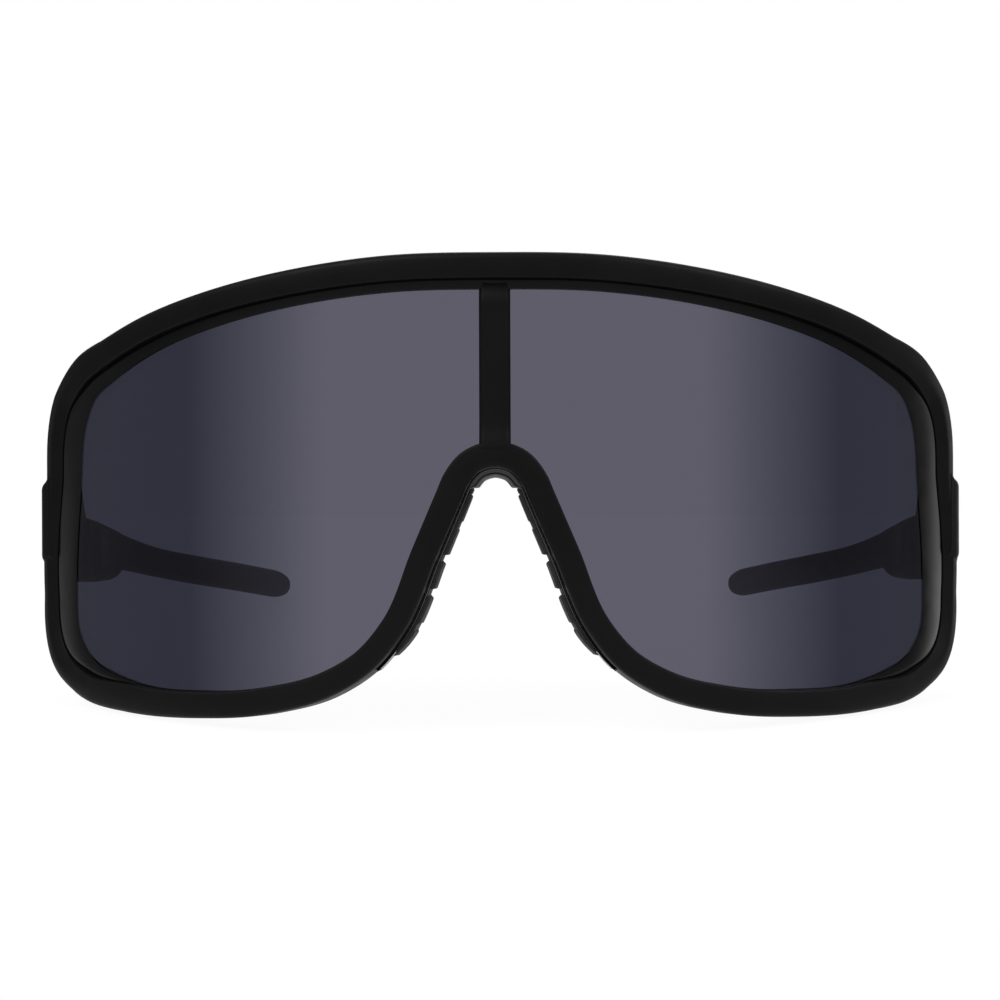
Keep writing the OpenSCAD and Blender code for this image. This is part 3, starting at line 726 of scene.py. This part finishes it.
def pad_line():
    """Knots down the flank from the end of the arch, with the distance along the pad's seat."""
    knots = LAST - 1 - np.arange(PAD_KNOTS * STEPS + 1) / STEPS
    seat = []
    for c in knots:
        value, rate = curve_at(LOOP, c, True)
        seat.append(value[:2] + outward(rate) * (value[2] + PAD_SEAT))
    lengths = np.concatenate([[0], np.cumsum(np.linalg.norm(np.diff(seat, axis=0), axis=1))])
    return lengths - lengths[STEPS], knots


# Ribs down a pad: start, length, height, how far that height falls off and the floor after the rib.
# A small bump comes first, and the last rib runs out along the liner.
BUMP = (-0.35, 1.0, 0.6 * RIB_H, 0, 0.3 * RIB_H)
OPEN_GAP = -0.12
LAST_RIB_LEN = 5.0
LAST_RIB_FALL = 0.9
RIB_ANGLES = np.radians(np.arange(0, 91, 15))
RIB_SHARES = np.linspace(0, 1, 9)[1:-1]


def rib_rows():
    rows = [BUMP]
    for k, depth in enumerate(RIB_GAPS):
        floor = OPEN_GAP if depth == 1 else RIB_H * (1 - depth)
        rows.append((RIB_FIRST + k * RIB_PITCH, RIB_LEN, RIB_H, 0, floor))
    last_start = RIB_FIRST + len(RIB_GAPS) * RIB_PITCH
    rows.append((last_start, LAST_RIB_LEN, RIB_H, LAST_RIB_FALL, OPEN_GAP))
    return rows


def pad_rows():
    """Distances down the pad with its height over the base: rounded ribs and gaps between them."""
    before = 0
    rows = []
    for start, length, high, fall, after in rib_rows():
        stop = start + length
        low = high * (1 - fall)
        for a in RIB_ANGLES:
            rows.append((start + RIB_EASE * (1 - math.cos(a)), mix(before, high, math.sin(a))))
        for share in RIB_SHARES:
            along = start + mix(RIB_EASE, length - RIB_EASE, share)
            rows.append((along, high * (1 - fall * share**2)))
        for a in RIB_ANGLES[::-1]:
            rows.append((stop - RIB_EASE * (1 - math.cos(a)), mix(after, low, math.sin(a))))
        before = after
    return rows


def pad_ring(knot, rise):
    """Ring across the pad at a knot of the flank, with its rise over the base."""
    value, rate = curve_at(LOOP, knot, True)
    top = PAD_SEAT + PAD_BASE + rise
    swing = (PAD_BACK - KINK) * SWING
    section = rounded([
        (PAD_SEAT, PAD_FRONT, 0),
        (PAD_SEAT, KINK, KINK_ROUND),
        (PAD_SEAT - swing, PAD_BACK, 0),
        (top - swing, PAD_BACK, PAD_ROUND),
        (top, KINK, KINK_ROUND),
        (top, PAD_FRONT, PAD_ROUND),
    ])
    flat = value[:2] + outward(rate) * (value[2] + section[:, :1])
    return wrap(flat[:, 0], flat[:, 1], -section[:, 1])


def build_pad(name, place):
    distances, knots = pad_line()
    rings = [pad_ring(np.interp(s, distances, knots), rise) for s, rise in pad_rows()]
    return loft(name, place(np.array(rings)), sharp=60)


# Arms. Heel, as shares of its length: distance, taper, how far the bottom and the top have dropped.
# Run behind it, as shares too: distance, taper, fall of the middle line and swell of the height
HEEL_ROWS = [(0.35, 0.15, 0.048, 0.06), (0.7, 0.5, 0.048, 0.141), (0.86, 0.75, 0.019, 0.2)]
RUN_ROWS = [
    (0, 0, 0, 0.23),
    (0.07, 0.05, 0.1, 0.1),
    (0.2, 0.2, 0.277, 0),
    (0.44, 0.5, 0.52, 0),
    (0.7, 0.75, 0.75, 0),
]
TIP_ROUND = ARM_TIP_H * 0.6
ARM_RUN = ARM_LEN - HEEL_LEN


def inset(d):
    """How far the arm's inner face has come in at distance d."""
    return ARM_INSET * d / ARM_LEN


# Both kinds of row give the distance from the butt, inset, thickness, bottom and top
def heel_row(d, taper, low, high):
    thick = mix(END_W, ARM_T, taper)
    return d, inset(d), thick, ROOT_Z[0] - ROOT_H * low, ROOT_Z[1] - ROOT_H * high


def run_row(d, taper, fall, swell):
    middle = ARM_MID - ARM_DROP * fall
    height = mix(ARM_H, ARM_TIP_H, taper) * (1 + swell)
    return d, inset(d), mix(ARM_T, ARM_TIP_T, taper), middle - height / 2, middle + height / 2


ARM_ROWS = np.array(
    [heel_row(BUTT_GAP / 2, 0, 0, 0)]
    + [heel_row(HEEL_LEN * d, taper, low, high) for d, taper, low, high in HEEL_ROWS]
    + [run_row(HEEL_LEN + ARM_RUN * d, taper, fall, swell) for d, taper, fall, swell in RUN_ROWS]
    + [run_row(ARM_LEN - TIP_ROUND, 1, 1, 0)]
)
ARM_KNOTS = np.linspace(0, len(ARM_ROWS) - 1, (len(ARM_ROWS) - 1) * STEPS + 1)
ARM_LINE = np.array([curve_at(ARM_ROWS, c, False)[0] for c in ARM_KNOTS])


def arm_at(d):
    return np.array([np.interp(d, ARM_LINE[:, 0], column) for column in ARM_LINE.T])


def arm_ring(values, trim=0.0, taper=0.0):
    """Ring across the arm, drawn in by trim all round and by taper from above and below."""
    d, lean, thick, low, high = values
    trim = trim + SKIN
    radius = min(ROOT_ROUND + END_W - thick, thick / 2 * ARM_ROUND) - trim * ARM_ROUND
    x = np.array([END_IN_X - lean + trim, END_IN_X - lean + thick - trim])
    return upright_ring(x, (low + trim + taper, high - trim - taper), radius, BUTT_Y + d)


def eased_cut(d, way):
    """Rings at a cut across the arm, drawn in there. way is 1 where the piece goes on behind it."""
    return [
        arm_ring(arm_at(d + way * SEAM_EASE * (1 - math.sin(a))), SEAM_EASE * (1 - math.cos(a)))
        for a in EASE_ANGLES[::-1]
    ]


# Rings of the run keep this far from a cut
SEAM_CLEAR = 3 * SEAM_EASE


def build_arm(name, place):
    start = eased_cut(ARM_LINE[0, 0], 1)
    stop = eased_cut(SLEEVE_D, -1)[::-1]
    run = [arm_ring(r) for r in ARM_LINE if SEAM_CLEAR < r[0] < SLEEVE_D - SEAM_CLEAR]
    made = loft(name, place(np.array(start + run + stop)))
    combine(made, hinge_room(1, along_arm(place)), "DIFFERENCE")
    return made


# The arm's end is rounded off from above and below as well
TIP_TAPER = 0.85
TIP_RUN = 9.0
TIP_ANGLES = np.radians([12, 24, 36, 48, 60, 70, 79, 86])


def tip_taper(d):
    """How far the arm's end is drawn in from above and below at distance d."""
    return TIP_TAPER * ease(ARM_LEN - TIP_RUN, ARM_LEN, d) ** 2


def build_tip(name, place):
    start = eased_cut(SLEEVE_D + SEAT_GAP, 1)
    run = [arm_ring(r, taper=tip_taper(r[0])) for r in ARM_LINE if r[0] > SLEEVE_D + SEAM_CLEAR]
    end = []
    for a in TIP_ANGLES:
        d = (TIP_ROUND - 2 * SKIN) * math.sin(a)
        spare = (ARM_TIP_H - ARM_TIP_T) / 2 * (1 - math.cos(a))
        taper = max(spare, tip_taper(ARM_LINE[-1][0] + d))
        values = ARM_LINE[-1] + [d, inset(d), 0, 0, 0]
        end.append(arm_ring(values, ARM_TIP_T / 2 * (1 - math.cos(a)), taper))
    return loft(name, place(np.array(start + run + end)))


# Screws: heads eased by a share of their height, with a driver slot. A leaf's two screws are given as
# below or above the middle, and how far the slot is turned in radians
HEAD_SOFT = 0.35
SLOT_W = 0.32
SLOT_DEPTH = 0.25
LEAF_SLOT_DEPTH = SLOT_DEPTH * 0.8
LEAF_SCREWS = ((-1, 0.5), (1, -0.3))


def screw_profile(head_r, head_h, shank_r, length):
    """Profile from the head's top down to the shank's end."""
    soft = head_h * HEAD_SOFT
    top = (0, head_r - 2 * soft)
    dome = [(soft * (1 - math.sin(a)), head_r - soft * (1 - math.cos(a))) for a in EASE_ANGLES[::-1]]
    return [top, *dome, (head_h, head_r), (head_h, shank_r), (head_h + length, shank_r)]


def build_hinge_screw(name, place):
    top = HINGE_Z + BARREL_H / 2 + SEAT_GAP + HEAD_H
    profile = screw_profile(HEAD_R, HEAD_H, PIN_R, BARREL_H + SEAT_GAP)
    made = turned(name, (AXIS_X, BUTT_Y, top), (0, 0, -1), profile, place)
    slot = block(
        "slot",
        (AXIS_X - 2 * HEAD_R, BUTT_Y - SLOT_W / 2, top - SLOT_DEPTH),
        (AXIS_X + 2 * HEAD_R, BUTT_Y + SLOT_W / 2, top + OVERCUT),
        place,
    )
    combine(made, [slot], "DIFFERENCE")
    return made


def build_leaf_screws(name, way, place):
    """The two screws of one leaf. way is 1 behind the hinge, -1 before it."""
    y = BUTT_Y + way * LEAF_SCREW_Y
    profile = screw_profile(LEAF_HEAD_R, LEAF_HEAD_H, LEAF_SCREW_R, LEAF_T)
    face = END_IN_X - LEAF_HEAD_H
    screws = []
    slots = []
    for level, tilt in LEAF_SCREWS:
        z = HINGE_Z + level * LEAF_SCREW_Z
        screw_name = name if level < 0 else "second"
        screws.append(turned(screw_name, (face, y, z), (1, 0, 0), profile, place))
        across = np.array([0, math.cos(tilt), math.sin(tilt)])
        beside = np.array([0, -math.sin(tilt), math.cos(tilt)])
        corners = [
            np.array([x, y, z]) + across * a * 2 * LEAF_HEAD_R + beside * b * SLOT_W / 2
            for x in (face - OVERCUT, face + LEAF_SLOT_DEPTH)
            for a in (-1, 1)
            for b in (-1, 1)
        ]
        slots.append(add_object("slot", place(np.array(corners)), BOX_FACES))
    combine(screws[0], screws[1:], "UNION")
    combine(screws[0], slots, "DIFFERENCE")
    return screws[0]


# Materials. Noise is used between these of its values, where nearly all of it lies
NOISE_SPAN = (0.3, 0.7)


def surface_of(material):
    return material.node_tree.nodes["Principled BSDF"]


def shader(name, colour, roughness, **sockets):
    """New material with one Principled shader, its constants set on its own sockets."""
    made = bpy.data.materials.new(name)
    made.use_nodes = True
    surface = surface_of(made)
    surface.inputs["Base Color"].default_value = (*colour, 1)
    surface.inputs["Roughness"].default_value = roughness
    for socket, value in sockets.items():
        surface.inputs[socket.replace("_", " ")].default_value = value
    return made


def node(material, kind, **settings):
    """New node, with settings for its sockets or for itself."""
    made = material.node_tree.nodes.new(kind)
    for key, value in settings.items():
        if key in made.inputs:
            made.inputs[key].default_value = value
        else:
            setattr(made, key, value)
    return made


def link(material, start, end):
    material.node_tree.links.new(start, end)


def noise(material, size_mm, detail=2.0, stretch=(1, 1, 1)):
    """Noise of a grain size, in the part's own frame."""
    place = node(material, "ShaderNodeTexCoord")
    scale = node(material, "ShaderNodeMapping")
    scale.inputs["Scale"].default_value = stretch
    grain = node(material, "ShaderNodeTexNoise", Scale=1000 / size_mm, Detail=detail)
    link(material, place.outputs["Object"], scale.inputs["Vector"])
    link(material, scale.outputs["Vector"], grain.inputs["Vector"])
    return grain.outputs["Fac"]


def spread(material, value, edges, levels):
    """Turns a value between two edges into a number between two levels."""
    made = node(material, "ShaderNodeMapRange")
    for name, number in zip(("From Min", "From Max", "To Min", "To Max"), (*edges, *levels)):
        made.inputs[name].default_value = number
    link(material, value, made.inputs["Value"])
    return made.outputs["Result"]


def along_axis(material, axis):
    """Place on the X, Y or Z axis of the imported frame, in metres."""
    place = node(material, "ShaderNodeTexCoord")
    parts = node(material, "ShaderNodeSeparateXYZ")
    link(material, place.outputs["Object"], parts.inputs["Vector"])
    return parts.outputs[axis]


def vary_roughness(material, factor, low, high):
    """Lets a noise move the roughness between two values."""
    moved = spread(material, factor, NOISE_SPAN, (low, high))
    link(material, moved, surface_of(material).inputs["Roughness"])


def vary_colour(material, factor, dark, light):
    """Lets a noise move the colour between two shades."""
    ramp = node(material, "ShaderNodeValToRGB")
    for k, shade in enumerate((dark, light)):
        ramp.color_ramp.elements[k].position = NOISE_SPAN[k]
        ramp.color_ramp.elements[k].color = (*shade, 1)
    link(material, factor, ramp.inputs["Fac"])
    link(material, ramp.outputs["Color"], surface_of(material).inputs["Base Color"])


def emboss(material, factor, strength, depth_mm):
    bump = node(material, "ShaderNodeBump", Strength=strength, Distance=depth_mm / 1000)
    link(material, factor, bump.inputs["Height"])
    link(material, bump.outputs["Normal"], surface_of(material).inputs["Normal"])


def matte_plastic(name, dark, light):
    """Moulded black plastic with a fine spark-eroded grain."""
    made = shader(name, dark, roughness=0.5, Specular_IOR_Level=0.1)
    vary_colour(made, noise(made, size_mm=9), dark, light)
    vary_roughness(made, noise(made, size_mm=3.5), low=0.44, high=0.54)
    emboss(made, noise(made, size_mm=0.16, detail=3.0), strength=0.25, depth_mm=0.02)
    return made


def satin_plastic(name, dark, light):
    """Smooth black plastic of the band, which mirrors softly."""
    made = shader(name, dark, roughness=0.15, Specular_IOR_Level=0.2)
    vary_colour(made, noise(made, size_mm=7), dark, light)
    vary_roughness(made, noise(made, size_mm=4), low=0.13, high=0.19)
    return made


# Heights over the floor between which the liner turns from dull to glossy, and its specular levels
LINER_FADE = (11.0, 22.0)
LINER_SHINE = (0.03, 0.5)


def gloss_plastic(name, dark, light):
    """Glossy at the arch, and duller down to the ends of the legs."""
    made = shader(name, dark, roughness=0.14, IOR=1.9)
    vary_colour(made, noise(made, size_mm=4), dark, light)
    vary_roughness(made, noise(made, size_mm=2.5), low=0.11, high=0.2)
    shine = spread(made, along_axis(made, "Z"), [edge / 1000 for edge in LINER_FADE], LINER_SHINE)
    link(made, shine, surface_of(made).inputs["Specular IOR Level"])
    return made


def rubber(name, dark, light):
    """Soft black rubber with a dull skin."""
    made = shader(name, dark, roughness=0.7, Specular_IOR_Level=0.35)
    vary_colour(made, noise(made, size_mm=2.2, detail=4.0), dark, light)
    vary_roughness(made, noise(made, size_mm=1.2), low=0.62, high=0.78)
    emboss(made, noise(made, size_mm=0.22, detail=4.0), strength=0.35, depth_mm=0.03)
    return made


# The lens's colour is pale and even over its middle and falls off to darker sides: the dark is its
# smoke tint, and the pale middle is a painted reflection of the light ahead.
# The fade is given as distances from its middle, which lies a little to the wearer's left
LENS_PAINTED_BRIGHT = (0.1025, 0.098, 0.1305)
LENS_PAINTED_HALFWAY = (0.055, 0.0575, 0.0795)
LENS_DARK = (0.0236, 0.0246, 0.0392)
LENS_COAT = (0.84, 0.82, 1.0)
LENS_FADE = (28.8, 50.1)
LENS_FADE_MID = 2.9


def smoke_lens_with_painted_reflection(name):
    """Smoke polycarbonate whose colour is paler over the middle, which is a painted reflection."""
    made = shader(name, LENS_PAINTED_BRIGHT, roughness=0.0, Transmission_Weight=1.0, IOR=1.5)
    surface = surface_of(made)
    surface.inputs["Specular Tint"].default_value = (*LENS_COAT, 1)
    offset = node(made, "ShaderNodeMath", operation="SUBTRACT")
    offset.inputs[1].default_value = LENS_FADE_MID / 1000
    distance = node(made, "ShaderNodeMath", operation="ABSOLUTE")
    link(made, along_axis(made, "X"), offset.inputs[0])
    link(made, offset.outputs[0], distance.inputs[0])
    fall = spread(made, distance.outputs[0], [edge / 1000 for edge in LENS_FADE], (0, 1))
    # Painted reflection: this ramp makes the lens paler over its middle than at its sides
    tint_and_reflection = node(made, "ShaderNodeValToRGB")
    tint_and_reflection.color_ramp.elements[0].color = (*LENS_PAINTED_BRIGHT, 1)
    tint_and_reflection.color_ramp.elements[1].color = (*LENS_DARK, 1)
    tint_and_reflection.color_ramp.elements.new(0.5).color = (*LENS_PAINTED_HALFWAY, 1)
    link(made, fall, tint_and_reflection.inputs["Fac"])
    link(made, tint_and_reflection.outputs["Color"], surface.inputs["Base Color"])
    return made


def coated_steel(name, dark, light, stretch):
    """Black-coated steel with fine streaks, which stretch says how to draw out."""
    made = shader(name, dark, roughness=0.35, Specular_IOR_Level=0.3)
    streaks = noise(made, size_mm=0.5, detail=3.0, stretch=stretch)
    vary_roughness(made, streaks, low=0.28, high=0.45)
    vary_colour(made, noise(made, size_mm=1.5), dark, light)
    emboss(made, streaks, strength=0.15, depth_mm=0.01)
    return made


def coat(piece, material):
    """Gives a piece its material."""
    piece.data.materials.clear()
    piece.data.materials.append(material)


def dress(piece, material, body, replaced):
    """Coats a new piece, hangs it on the body it rides on and hides the imported node it stands for."""
    coat(piece, material)
    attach(piece, body)
    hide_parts(replaced)


# Darker and lighter shade of each black
MATTE_BLACK = ((0.0035, 0.0035, 0.0041), (0.0044, 0.0044, 0.005))
BAND_BLACK = ((0.003, 0.003, 0.0035), (0.004, 0.004, 0.0045))
LINER_BLACK = ((0.005, 0.005, 0.006), (0.008, 0.008, 0.009))
PAD_BLACK = ((0.012, 0.012, 0.013), (0.02, 0.02, 0.021))
TIP_BLACK = ((0.011, 0.011, 0.012), (0.015, 0.015, 0.016))
LEAF_BLACK = ((0.008, 0.008, 0.0085), (0.012, 0.012, 0.0125))
SCREW_BLACK = ((0.012, 0.012, 0.0125), (0.02, 0.02, 0.0205))

frame_black = matte_plastic("frame_matte", *MATTE_BLACK)
arm_black = matte_plastic("arm_matte", *MATTE_BLACK)
pad_rubber = rubber("pad_rubber", *PAD_BLACK)
tip_rubber = rubber("tip_rubber", *TIP_BLACK)
leaf_steel = coated_steel("leaf_steel", *LEAF_BLACK, stretch=(1, 0.08, 1))
screw_steel = coated_steel("screw_steel", *SCREW_BLACK, stretch=(1, 1, 0.3))
lens_smoke_painted_reflection = smoke_lens_with_painted_reflection("lens_smoke_painted_reflection")
band_satin = satin_plastic("band_satin", *BAND_BLACK)
liner_gloss = gloss_plastic("liner_gloss", *LINER_BLACK)

dress(build_front(), frame_black, "front", "front_frame")
dress(build_lens(), lens_smoke_painted_reflection, "front", "shield_lens")
dress(build_bezel(), band_satin, "front", "lens_bezel")
dress(build_bar(), frame_black, "front", "centre_bar")
dress(build_liner(), liner_gloss, "front", "nose_carrier")

for side, place in (("left", same), ("right", mirrored)):
    arm_body = f"arm_{side}"
    pad = build_pad(f"pad_{side}", place)
    dress(pad, pad_rubber, "front", f"nose_pad_{side}")
    dress(build_arm(f"arm_shaft_{side}", place), arm_black, arm_body, f"temple_arm_{side}")
    dress(build_tip(f"arm_sleeve_{side}", place), tip_rubber, arm_body, f"temple_tip_{side}")
    pin = build_hinge_screw(f"pin_{side}", place)
    dress(pin, screw_steel, "front", f"hinge_screw_{side}")
    fixed = build_leaf_screws(f"front_screws_{side}", -1, place)
    dress(fixed, screw_steel, "front", f"front_leaf_screws_{side}")
    moving = build_leaf_screws(f"arm_screws_{side}", 1, along_arm(place))
    dress(moving, screw_steel, arm_body, f"temple_leaf_screws_{side}")
    for kind in ("hinge_front_leaf", "hinge_temple_leaf"):
        coat(frame["nodes"][f"{kind}_{side}"], leaf_steel)


def direct_ray(tree, kinds=("Is Camera Ray", "Is Glossy Ray", "Is Transmission Ray")):
    """1 for rays of these kinds, which show the background itself, and 0 for others."""
    path = tree.nodes.new("ShaderNodeLightPath")
    total = path.outputs[kinds[0]]
    for kind in kinds[1:]:
        larger = tree.nodes.new("ShaderNodeMath")
        larger.operation = "MAXIMUM"
        tree.links.new(total, larger.inputs[0])
        tree.links.new(path.outputs[kind], larger.inputs[1])
        total = larger.outputs[0]
    return total


# Stage: a pale floor that shows white and keeps a faint shadow. Reach is its half width and depth in
# metres, and bounce is its grey for rays that only carry light
FLOOR_REACH = (0.125, 0.2)
FLOOR_GLOW = 0.94
FLOOR_SHADE = 0.06
FLOOR_BOUNCE = 0.45


def build_floor():
    mesh = bpy.data.meshes.new("floor")
    x, y = FLOOR_REACH
    corners = [(-x, -y, 0), (x, -y, 0), (x, y, 0), (-x, y, 0)]
    mesh.from_pydata(corners, [], [(0, 1, 2, 3)])
    floor = bpy.data.objects.new("floor", mesh)
    bpy.context.scene.collection.objects.link(floor)
    made = bpy.data.materials.new("floor_pale")
    made.use_nodes = True
    tree = made.node_tree
    tree.nodes.clear()
    output = node(made, "ShaderNodeOutputMaterial")
    matt = node(made, "ShaderNodeBsdfDiffuse")
    matt.inputs["Color"].default_value = (FLOOR_SHADE, FLOOR_SHADE, FLOOR_SHADE, 1)
    pale = node(made, "ShaderNodeBsdfDiffuse")
    pale.inputs["Color"].default_value = (FLOOR_BOUNCE, FLOOR_BOUNCE, FLOOR_BOUNCE, 1)
    glow = node(made, "ShaderNodeEmission", Strength=FLOOR_GLOW)
    seen = node(made, "ShaderNodeAddShader")
    both = node(made, "ShaderNodeMixShader")
    link(made, matt.outputs["BSDF"], seen.inputs[0])
    link(made, glow.outputs["Emission"], seen.inputs[1])
    link(made, direct_ray(tree), both.inputs["Fac"])
    link(made, pale.outputs["BSDF"], both.inputs[1])
    link(made, seen.outputs["Shader"], both.inputs[2])
    link(made, both.outputs["Shader"], output.inputs["Surface"])
    mesh.materials.append(made)


# Studio: a bright room that mirrors as a dim panel ahead of the lens, dark sides, a dark ceiling and
# a pale wall behind, which is brighter on the wearer's left. Edges are bearings and heights in
# degrees. The wall's light turns from the right's to the left's between two shares of the way.
PANEL_LIGHT = 0.44
SIDE_LIGHT = 0.18
REAR_LIGHT = (0.7, 2.5)
REAR_DIM = (0.14, 0.3)
ROOM_LIGHT = 0.62
LOW_LIGHT = 0.4
CEILING_LIGHT = 0.3
PANEL_EDGE = (36, 80)
REAR_EDGE = (105, 112)
HORIZON = (-2.5, 1.5)
LOW_EDGE = (-16, -5)
FLOOR_EDGE = (-27, -15)
CEILING_EDGE = (6, 18)
REAR_TURN = (-0.5, 0.5)


def build_world():
    world = bpy.data.worlds.new("studio")
    bpy.context.scene.world = world
    world.use_nodes = True
    tree = world.node_tree
    tree.nodes.clear()

    def math_node(operation, first, second=None):
        made = tree.nodes.new("ShaderNodeMath")
        made.operation = operation
        for slot_number, value in enumerate((first, second)):
            if isinstance(value, (int, float)):
                made.inputs[slot_number].default_value = value
            elif value is not None:
                tree.links.new(value, made.inputs[slot_number])
        return made.outputs[0]

    def along(direction):
        dot = tree.nodes.new("ShaderNodeVectorMath")
        dot.operation = "DOT_PRODUCT"
        tree.links.new(place.outputs["Generated"], dot.inputs[0])
        dot.inputs[1].default_value = direction
        return dot.outputs["Value"]

    def fade(value, edges, start, stop):
        made = tree.nodes.new("ShaderNodeMapRange")
        made.interpolation_type = "SMOOTHSTEP"
        tree.links.new(value, made.inputs["Value"])
        made.inputs["From Min"].default_value = edges[0]
        made.inputs["From Max"].default_value = edges[1]
        for name, level in (("To Min", start), ("To Max", stop)):
            if isinstance(level, (int, float)):
                made.inputs[name].default_value = level
            else:
                tree.links.new(level, made.inputs[name])
        return made.outputs["Result"]

    place = tree.nodes.new("ShaderNodeTexCoord")
    left = along((1, 0, 0))
    ahead = along((0, -TILT_COS, TILT_SIN))
    up = along((0, TILT_SIN, TILT_COS))
    height = math_node("MULTIPLY", math_node("ARCSINE", up), 180 / math.pi)
    turn = math_node("ABSOLUTE", math_node("ARCTAN2", left, ahead))
    bearing = math_node("MULTIPLY", turn, 180 / math.pi)
    panel = fade(bearing, PANEL_EDGE, PANEL_LIGHT, SIDE_LIGHT)
    dim = fade(left, REAR_TURN, *REAR_DIM)
    rear = math_node("MULTIPLY", fade(height, HORIZON, 1.0, dim), fade(height, LOW_EDGE, dim, 1.0))
    rear = math_node("MULTIPLY", rear, fade(left, REAR_TURN, *REAR_LIGHT))
    ring = fade(bearing, REAR_EDGE, panel, rear)
    light = fade(height, FLOOR_EDGE, LOW_LIGHT, fade(height, CEILING_EDGE, ring, CEILING_LIGHT))
    glossy = direct_ray(tree, ("Is Glossy Ray",))
    seen = direct_ray(tree, ("Is Camera Ray", "Is Transmission Ray"))
    level = fade(seen, (0, 1), fade(glossy, (0, 1), ROOM_LIGHT, light), 1.0)
    background = tree.nodes.new("ShaderNodeBackground")
    output = tree.nodes.new("ShaderNodeOutputWorld")
    background.inputs["Color"].default_value = (1, 1, 1, 1)
    tree.links.new(level, background.inputs["Strength"])
    tree.links.new(background.outputs["Background"], output.inputs["Surface"])


# Soft lamps: place and size in metres, and power in watts. All point near the object's middle
LAMP_AIM = Vector((0, 0, 0.03))
LAMPS = {
    "key": ((-0.5, -0.45, 0.75), 0.6, 5.4),
    "fill": ((0.6, -0.3, 0.6), 0.6, 3.4),
    "rear": ((0.1, 0.75, 0.6), 0.7, 3.0),
}


def build_lamps():
    for name, (place, size, power) in LAMPS.items():
        lamp = bpy.data.lights.new(name, "AREA")
        lamp.shape = "DISK"
        lamp.size = size
        lamp.energy = power
        made = bpy.data.objects.new(name, lamp)
        made.location = place
        made.rotation_euler = (LAMP_AIM - Vector(place)).to_track_quat("-Z", "Y").to_euler()
        bpy.context.scene.collection.objects.link(made)


# Camera: level with the eye line, a little to the wearer's left, as in the photograph. Yaw and roll
# are in degrees, lens and sensor in millimetres, and the clipping distances in metres
CAMERA_AT = (9.53, -550.0, 0.0)
CAMERA_YAW = 0.919
CAMERA_ROLL = -0.2
CAMERA_LENS = 131.7
CAMERA_SENSOR = 36
CAMERA_CLIP = (0.01, 100)


def build_camera():
    data = bpy.data.cameras.new("camera")
    data.lens = CAMERA_LENS
    data.sensor_width = CAMERA_SENSOR
    data.clip_start, data.clip_end = CAMERA_CLIP
    camera = bpy.data.objects.new("camera", data)
    level = Matrix.Rotation(math.pi / 2 - TILT, 4, "X")
    yaw = Matrix.Rotation(math.radians(CAMERA_YAW), 4, Vector((0, TILT_SIN, TILT_COS)))
    roll = Matrix.Rotation(math.radians(CAMERA_ROLL), 4, "Z")
    camera.matrix_world = Matrix.Translation(Vector(row(CAMERA_AT))) @ yaw @ level @ roll
    bpy.context.scene.collection.objects.link(camera)
    bpy.context.scene.camera = camera


build_floor()
build_world()
build_lamps()
build_camera()
bpy.context.scene.view_settings.view_transform = "Standard"

bpy.context.view_layer.update()
